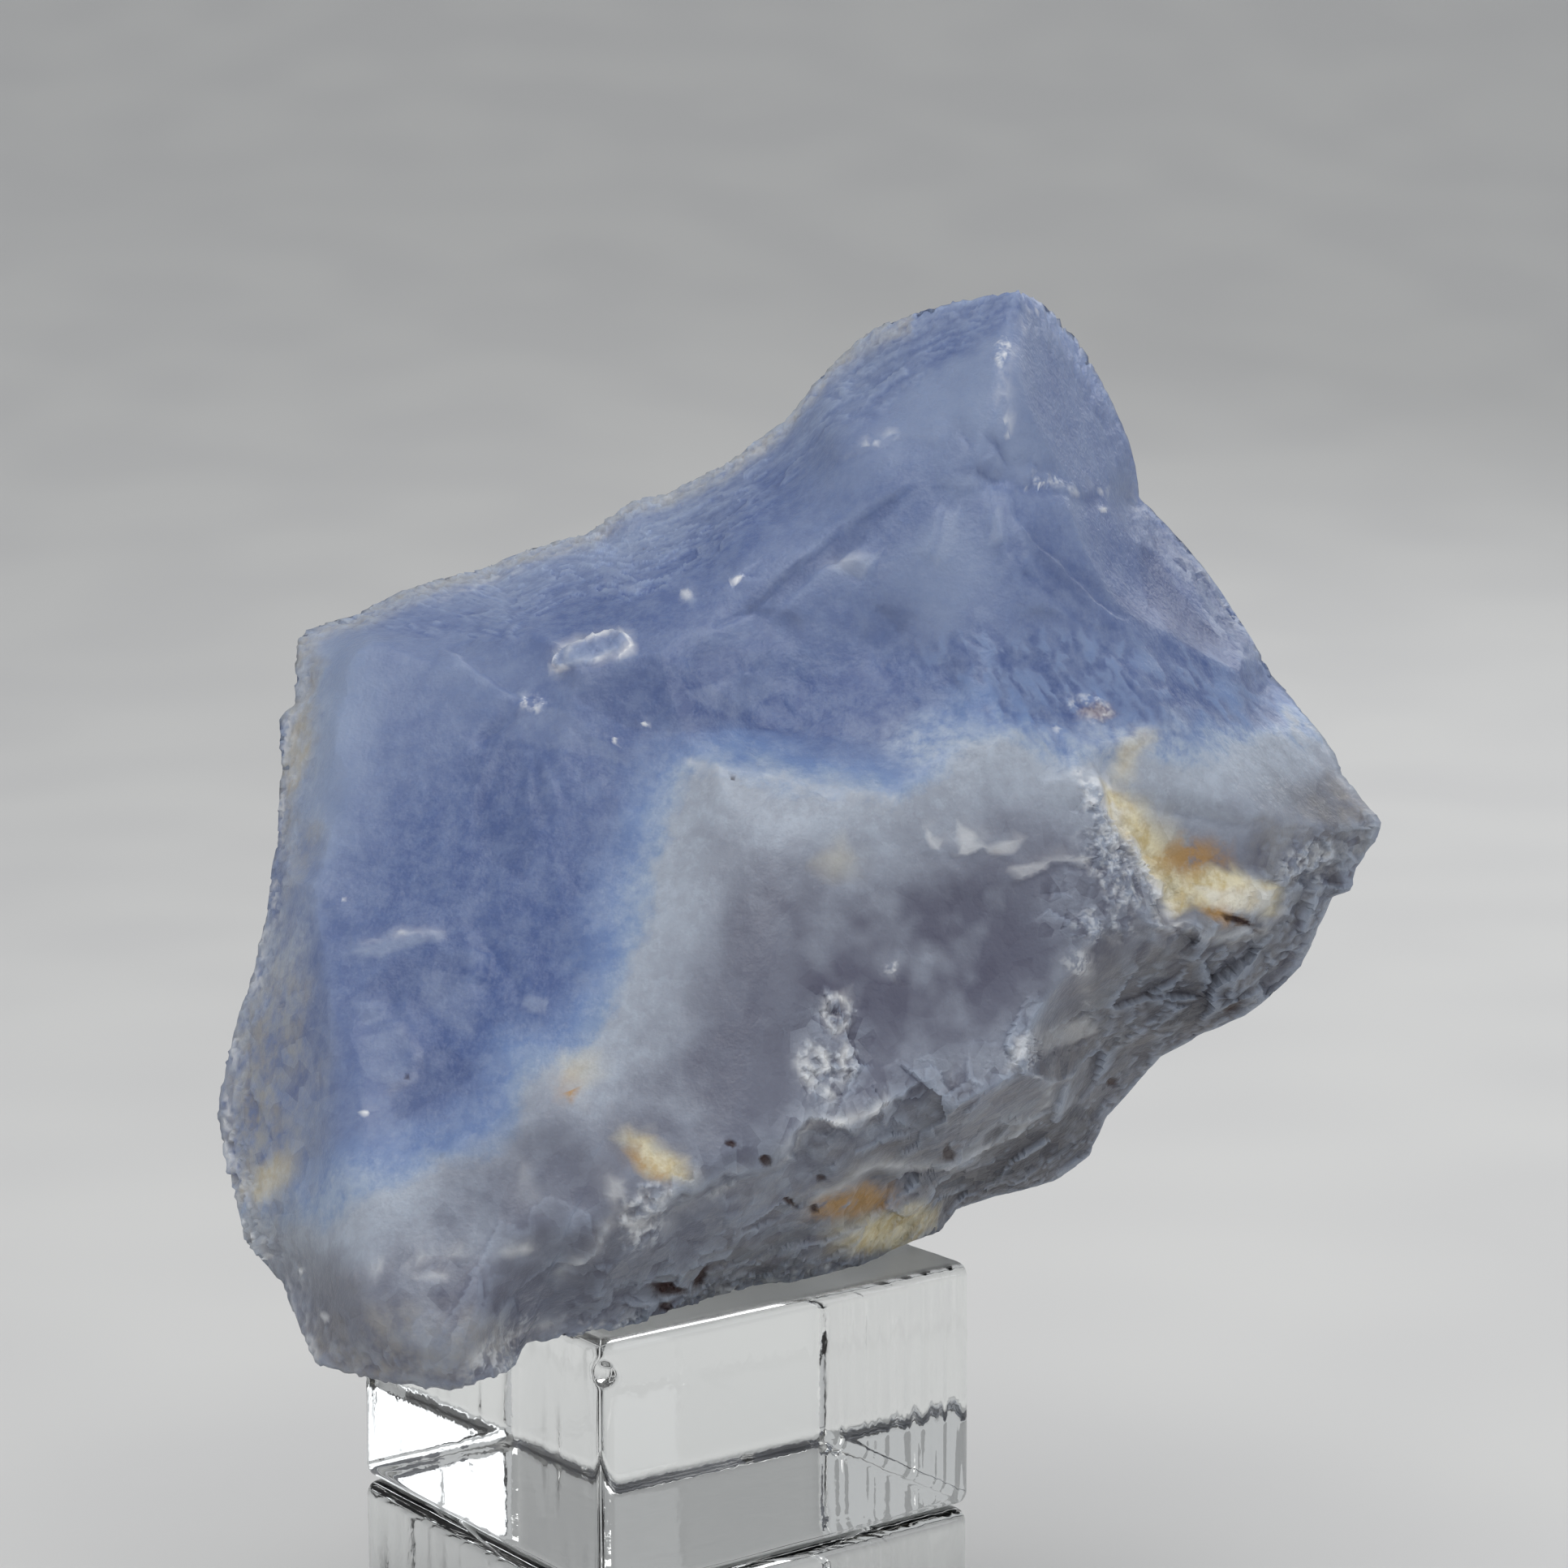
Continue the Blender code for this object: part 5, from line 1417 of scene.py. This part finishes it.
# %% The stone's material
# Sizes of the patterns, in millimetres.
CLOUD_SIZE = 9
FLECK_SIZE = 0.9
PORE_SIZE = 0.35
BLOT_SIZE = 1.6
FACET_SIZE = 1.3
PORE_DEPTH = 0.12
FLECK_DEPTH = 0.3
FACET_STEEPNESS = 1.1  # the facets' heights are in metres already, so this is a factor
WAXY_ROUGHNESS = 0.32  # of the smoothest skin, before pores, rubble and flakes add theirs
STONE_IOR = 1.54
WAXY_REFLECTION = 0.3
DEPTH = 0.6  # how far the smooth stone is lit from inside
OPAQUE_LOSS = 0.45  # how much of that a rough or stained part loses
SCATTER_REACH = (1.5, 1.2, 1.0)  # red, green and blue, in the scale below
SCATTER_SCALE = 2.0 * MM


def stone_bumps(tree, layers):
    """Bumps on bumps: each layer's strength, depth and height, on the directions of the one before."""
    below = {}
    for strength, depth, height in layers:
        inputs = {"Strength": strength, "Distance": depth, "Height": height, **below}
        below = {"Normal": add_node(tree, "ShaderNodeBump", inputs).outputs["Normal"]}
    return below["Normal"]


def stone_material():
    """Blue chalcedony: its colours laid over each other, its gloss, its bumps and its depth."""
    material, tree, shader = new_material("blue chalcedony")
    clouds = grain(tree, CLOUD_SIZE, 1.0)
    flecks = grain(tree, FLECK_SIZE, 3.0, 0.65)
    pores = grain(tree, PORE_SIZE, 1.0, 0.6)
    blots = grain(tree, BLOT_SIZE, 3.0, 0.7)
    fibres = zone(tree, "fibre")
    facets, facet_shade = broken_facets(tree, FACET_SIZE)
    milk_sugar = maths(tree, "MULTIPLY", zone(tree, "milk"), 0.12)
    sugary = maths(tree, "ADD", milk_sugar, maths(tree, "MULTIPLY", zone(tree, "yellow"), 0.4))
    crystalline = maths(tree, "MAXIMUM", maths(tree, "MULTIPLY", zone(tree, "rough"), 0.8), sugary)
    body = blue_body(tree, clouds, fibres)
    colour = milky_part(tree, body, flecks, fibres)
    colour = broken_part(tree, colour, clouds, blots, facet_shade, crystalline)
    tree.links.new(small_marks(tree, colour), shader.inputs["Base Color"])
    roughness = maths(
        tree, "ADD", WAXY_ROUGHNESS,
        maths(tree, "MULTIPLY", pores, 0.16),
        maths(tree, "MULTIPLY", zone(tree, "rough"), 0.1),
        maths(tree, "MULTIPLY", zone(tree, "band"), 0.15),
    )
    tree.links.new(roughness, shader.inputs["Roughness"])
    sandy = maths(tree, "ADD", 0.3, maths(tree, "MULTIPLY", crystalline, 0.6))
    normal = stone_bumps(tree, (
        (0.35, PORE_DEPTH * MM, pores),
        (sandy, FLECK_DEPTH * MM, flecks),
        (crystalline, FACET_STEEPNESS, facets),
    ))
    tree.links.new(normal, shader.inputs["Normal"])
    opaque = maths(tree, "MAXIMUM", *(zone(tree, name) for name in ("orange", "yellow", "rust", "rough")))
    depth = maths(tree, "SUBTRACT", DEPTH, maths(tree, "MULTIPLY", opaque, OPAQUE_LOSS))
    tree.links.new(depth, shader.inputs["Subsurface Weight"])
    shader.subsurface_method = "BURLEY"
    shader.inputs["IOR"].default_value = STONE_IOR
    shader.inputs["Specular IOR Level"].default_value = WAXY_REFLECTION
    shader.inputs["Subsurface Radius"].default_value = SCATTER_REACH
    shader.inputs["Subsurface Scale"].default_value = SCATTER_SCALE
    return material


stone.data.materials.clear()
stone.data.materials.append(stone_material())
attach(stone, "root")
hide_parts("agate")
print("stone dressed")

# %% [markdown]
# ## The two clear blocks
#
# The blocks are cast or cut from something clear, square, with rounded edges that catch the light
# as thin white lines. A rounded box is easy to write down: take a point of a cube, pull it into the
# smaller box that the edges' rounding leaves, and step out again by the rounding's radius. Corners
# and edges come out round and the sides flat. The rows of the grid stand close together near the
# edges, where the surface bends, and a slow noise makes the sides slightly wavy, like real ones.
#
# The upper block has a chip in its front edge and two in its top edge, and its top is dulled along
# the rim, where stones have stood and slid.

# %% A rounded box
EDGE_ROWS = 6  # rows of the grid across each rounded edge
SIDE_ROWS = 90  # rows across each side
WAVE = 0.03  # millimetres that the sides swell in and out
FLOW = 0.07  # millimetres that the far side is streaked by, where the clear melt ran down
WAVE_LENGTH = 2.2
FLOW_WIDTH = 0.9
WORN_RIM = 0.25  # millimetres below the top from which the upper block is dulled
# Chips in the upper block's edges: across, deep and up from its middle, radius and depth.
CHIPS = ((-15.8, -15.8, 6.7, 1.1, 0.5), (10.3, -15.8, 9.6, 0.8, 0.35), (13.6, -15.8, 9.6, 0.7, 0.3))


def rounded_box(half_sizes, edge):
    """Points and quads of a box: each cube point is pulled into the inner box, then out by the radius.

    Each of the six sides is a grid of its own, and points that two sides share are then merged.
    """
    bends = edge * (1 - np.cos(np.linspace(0, pi / 2, EDGE_ROWS)))
    points = []
    quads = []
    for axis in range(3):
        first, second = (axis + 1) % 3, (axis + 2) % 3
        rows = []
        for other in (first, second):
            reach = half_sizes[other]
            middle = np.linspace(edge - reach, reach - edge, SIDE_ROWS)
            rows.append(np.concatenate((-reach + bends[:-1], middle, (reach - bends[:-1])[::-1])))
        grid = np.stack(np.meshgrid(*rows, indexing="ij"), axis=-1)
        number = np.arange(grid.shape[0] * grid.shape[1]).reshape(grid.shape[:2])
        ring = np.stack((number[:-1, :-1], number[1:, :-1], number[1:, 1:], number[:-1, 1:]), axis=-1)
        for way in (1, -1):
            cube = np.empty((number.size, 3))
            cube[:, axis] = way * half_sizes[axis]
            cube[:, first] = grid[..., 0].ravel()
            cube[:, second] = grid[..., 1].ravel()
            quads.append(ring.reshape(-1, 4)[:, ::way] + sum(len(made) for made in points))
            points.append(cube)
    cube = np.vstack(points)
    _, kept, merged = np.unique(np.round(cube, 6), axis=0, return_index=True, return_inverse=True)
    cube = cube[kept]
    inner = np.clip(cube, edge - half_sizes, half_sizes - edge)
    out = cube - inner
    rounded = inner + edge * out / np.linalg.norm(out, axis=1)[:, None]
    return rounded, merged.ravel()[np.vstack(quads)]


def add_block(node, seed, chips):
    """A clear block in the place of this CAD node: a rounded box, slightly wavy, turned as it stands.

    A chip pulls the points near its middle inwards, the more the nearer they are.
    """
    low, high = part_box(node)
    height = (high.z - low.z) / MM
    half_sizes = np.array((BLOCK_SIDE / MM / 2, BLOCK_SIDE / MM / 2, height / 2))
    points, quads = rounded_box(half_sizes, BLOCK_EDGE / MM)
    # The waves are four times as long upwards, and the top and the bottom swell less than the sides.
    upright = points * (1, 1, 0.25)
    waves = np.column_stack([noise(upright, WAVE_LENGTH, seed + way) for way in range(3)])
    points = points + WAVE * waves * (1, 1, 0.4)
    # Long upright streaks, only within a millimetre of the far side.
    streaked = np.column_stack((points[:, 1], points[:, 2] / 10, 0 * points[:, 2]))
    running = noise(streaked, FLOW_WIDTH, seed + 3)
    points[:, 0] += FLOW * (running - 1) * smooth_step((points[:, 0] - half_sizes[0] + 1) / 0.5)
    for *middle, radius, depth in chips:
        away = np.linalg.norm(points - middle, axis=1)
        points -= depth * smooth_step(1.3 - 1.3 * away / radius)[:, None] * np.sign(points) * (1, 1, 0.6)
    points = np.clip(points, -half_sizes, half_sizes)
    turned = np.column_stack((
        points[:, 0] * cos(BLOCK_TURN) - points[:, 1] * sin(BLOCK_TURN),
        points[:, 0] * sin(BLOCK_TURN) + points[:, 1] * cos(BLOCK_TURN),
        points[:, 2],
    ))
    mesh = skin_mesh("clear_" + node, (turned + (0, 0, (high.z + low.z) / 2 / MM)) * MM, quads)
    # Only the block that has chips is worn on top.
    worn = smooth_step((points[:, 2] - half_sizes[2] + WORN_RIM) / 0.2) * bool(chips)
    mesh.attributes.new("worn", "FLOAT", "POINT").data.foreach_set("value", worn.astype(np.float32))
    block = bpy.data.objects.new("clear_" + node, mesh)
    bpy.context.scene.collection.objects.link(block)
    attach(block, "root")
    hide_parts(node)
    print(block.name, len(quads), "quads")
    return block


blocks = [add_block("lower_block", 500, ()), add_block("upper_block", 510, CHIPS)]

# %% [markdown]
# ## Clear material
#
# The blocks are see-through by plain transmission. A clear solid is drawn by what it bends: the
# edges, the far corners and the floor behind. A trace of grey-green keeps it from looking like air,
# and fine scratches on the surface catch a little light.

# %% Clear material
CLEAR = (0.97, 0.985, 0.975)
CLEAR_IOR = 1.49
SCRATCHES = 0.12  # roughness that a scratch adds
DULLING = 0.4  # roughness that the worn top adds


def clear_material():
    """Clear cast block: full transmission, faint scratches, and the worn top."""
    material, tree, shader = new_material("clear block")
    scuffs = grain(tree, 1.2, 2.0, 0.7)
    scratched = maths(tree, "MULTIPLY", stretch(tree, scuffs, 0.6, 0.8), SCRATCHES)
    dulled = maths(tree, "MULTIPLY", zone(tree, "worn"), DULLING)
    roughness = maths(tree, "ADD", 0.02, scratched, dulled)
    tree.links.new(roughness, shader.inputs["Roughness"])
    skin = add_node(tree, "ShaderNodeBump", {"Strength": 0.06, "Distance": 0.1 * MM, "Height": scuffs})
    tree.links.new(skin.outputs["Normal"], shader.inputs["Normal"])
    shader.inputs["Base Color"].default_value = (*CLEAR, 1)
    shader.inputs["IOR"].default_value = CLEAR_IOR
    shader.inputs["Transmission Weight"].default_value = 1
    return material


clear = clear_material()
for block in blocks:
    block.data.materials.append(clear)
print("blocks dressed")

# %% [markdown]
# ## Floor
#
# The floor is a pale sweep of card: flat under the object, then curved up behind it, so no horizon
# shows. It is a profile carried sideways, like the card that it stands for.

# %% Floor
# Metres, apart from the numbers of rows and columns.
SWEEP_FRONT = -6.0
SWEEP_DROP = 0.1 * MM  # the card lies a hair below the block, so that the two never share a plane
SWEEP_BACK = 0.35
SWEEP_BEND = 1.6
SWEEP_TOP = 2.2
SWEEP_HALF_WIDTH = 6.0
SWEEP_ROWS = 48
SWEEP_COLUMNS = 24
CARD = (0.63, 0.63, 0.63)
LIGHT_CARD = (0.66, 0.66, 0.655)
CARD_CLOUD = 40  # millimetres that the card's own pale clouds are long


def add_sweep():
    """A profile carried sideways: flat, then a quarter circle, then straight up."""
    turn = np.linspace(0, pi / 2, SWEEP_ROWS)
    depth = np.concatenate(([SWEEP_FRONT], SWEEP_BACK + SWEEP_BEND * np.sin(turn), [SWEEP_BACK + SWEEP_BEND]))
    rise = np.concatenate(([0], SWEEP_BEND * (1 - np.cos(turn)), [SWEEP_TOP])) - SWEEP_DROP
    across = np.linspace(-SWEEP_HALF_WIDTH, SWEEP_HALF_WIDTH, SWEEP_COLUMNS)
    points = np.stack(np.broadcast_arrays(across[None, :], depth[:, None], rise[:, None]), axis=-1)
    number = np.arange(points.shape[0] * points.shape[1]).reshape(points.shape[:2])
    quads = np.stack((number[:-1, :-1], number[:-1, 1:], number[1:, 1:], number[1:, :-1]), axis=-1)
    sweep = bpy.data.objects.new("sweep", skin_mesh("sweep", points.reshape(-1, 3), quads.reshape(-1, 4)))
    bpy.context.scene.collection.objects.link(sweep)
    material, tree, shader = new_material("pale card")
    shade = ramp(tree, grain(tree, CARD_CLOUD, 0.0), ((0.3, CARD), (0.7, LIGHT_CARD)))
    tree.links.new(shade, shader.inputs["Base Color"])
    shader.inputs["Roughness"].default_value = 0.9
    sweep.data.materials.append(material)


add_sweep()
print("sweep laid")

# %% [markdown]
# ## Light
#
# The light is soft and comes from large panels, because small lamps would put hard spots on the waxy
# stone. The strongest panel hangs above and in front. Weaker ones stand at the left and the right,
# and one behind makes thin edges glow. An even light from all round, as in a pale room, fills the
# shadows.

# %% Light
# Name, place in metres, size in metres, power in watts, and colour.
PANELS = (
    ("top panel", (0.05, -0.3, 0.78), 0.6, 3.1, (1.0, 0.99, 0.97)),
    ("left panel", (-0.65, -0.4, 0.3), 0.45, 0.9, (1.0, 0.98, 0.95)),
    ("right panel", (0.6, -0.35, 0.35), 0.45, 0.7, (0.95, 0.97, 1.0)),
    ("back panel", (0.3, 0.5, 0.45), 0.4, 1.0, (1.0, 1.0, 1.0)),
)
ROOM_LIGHT = 0.48

for name, place, size, power, colour in PANELS:
    lamp = bpy.data.lights.new(name, "AREA")
    lamp.size = size
    lamp.energy = power
    lamp.color = colour
    panel = bpy.data.objects.new(name, lamp)
    panel.location = place
    panel.rotation_mode = "QUATERNION"
    towards = solid_low.lerp(solid_high, 0.5) - panel.location
    panel.rotation_quaternion = towards.to_track_quat("-Z", "Y")
    bpy.context.scene.collection.objects.link(panel)
room = bpy.data.worlds.new("room")
room.use_nodes = True
room.node_tree.nodes["Background"].inputs["Color"].default_value = (0.96, 0.98, 1.0, 1)
room.node_tree.nodes["Background"].inputs["Strength"].default_value = ROOM_LIGHT
bpy.context.scene.world = room
print(len(PANELS), "panels lit")

# %% [markdown]
# ## Camera
#
# The camera stands where the eye of the measures is, and looks at the stone's middle. Its lens was
# worked out from the corners of the blocks. The view transform is the plain one, so that the
# colours above are the colours that show.

# %% Camera
LENS = 80.1
SENSOR = 36  # millimetres, the width of the picture behind the lens
camera = bpy.data.objects.new("camera", bpy.data.cameras.new("camera"))
camera.data.lens = LENS
camera.data.sensor_width = SENSOR
camera.data.clip_start = 0.01
camera.data.clip_end = 20
forward = np.array((0, cos(EYE_PITCH), -sin(EYE_PITCH)))
camera.location = STONE_MIDDLE - forward * EYE_DISTANCE * MM
camera.rotation_euler = (pi / 2 - EYE_PITCH, 0, 0)
bpy.context.scene.collection.objects.link(camera)
bpy.context.scene.camera = camera
bpy.context.scene.view_settings.view_transform = "Standard"
print("picture is", round(EYE_DISTANCE * SENSOR / LENS), "mm wide at the stone")
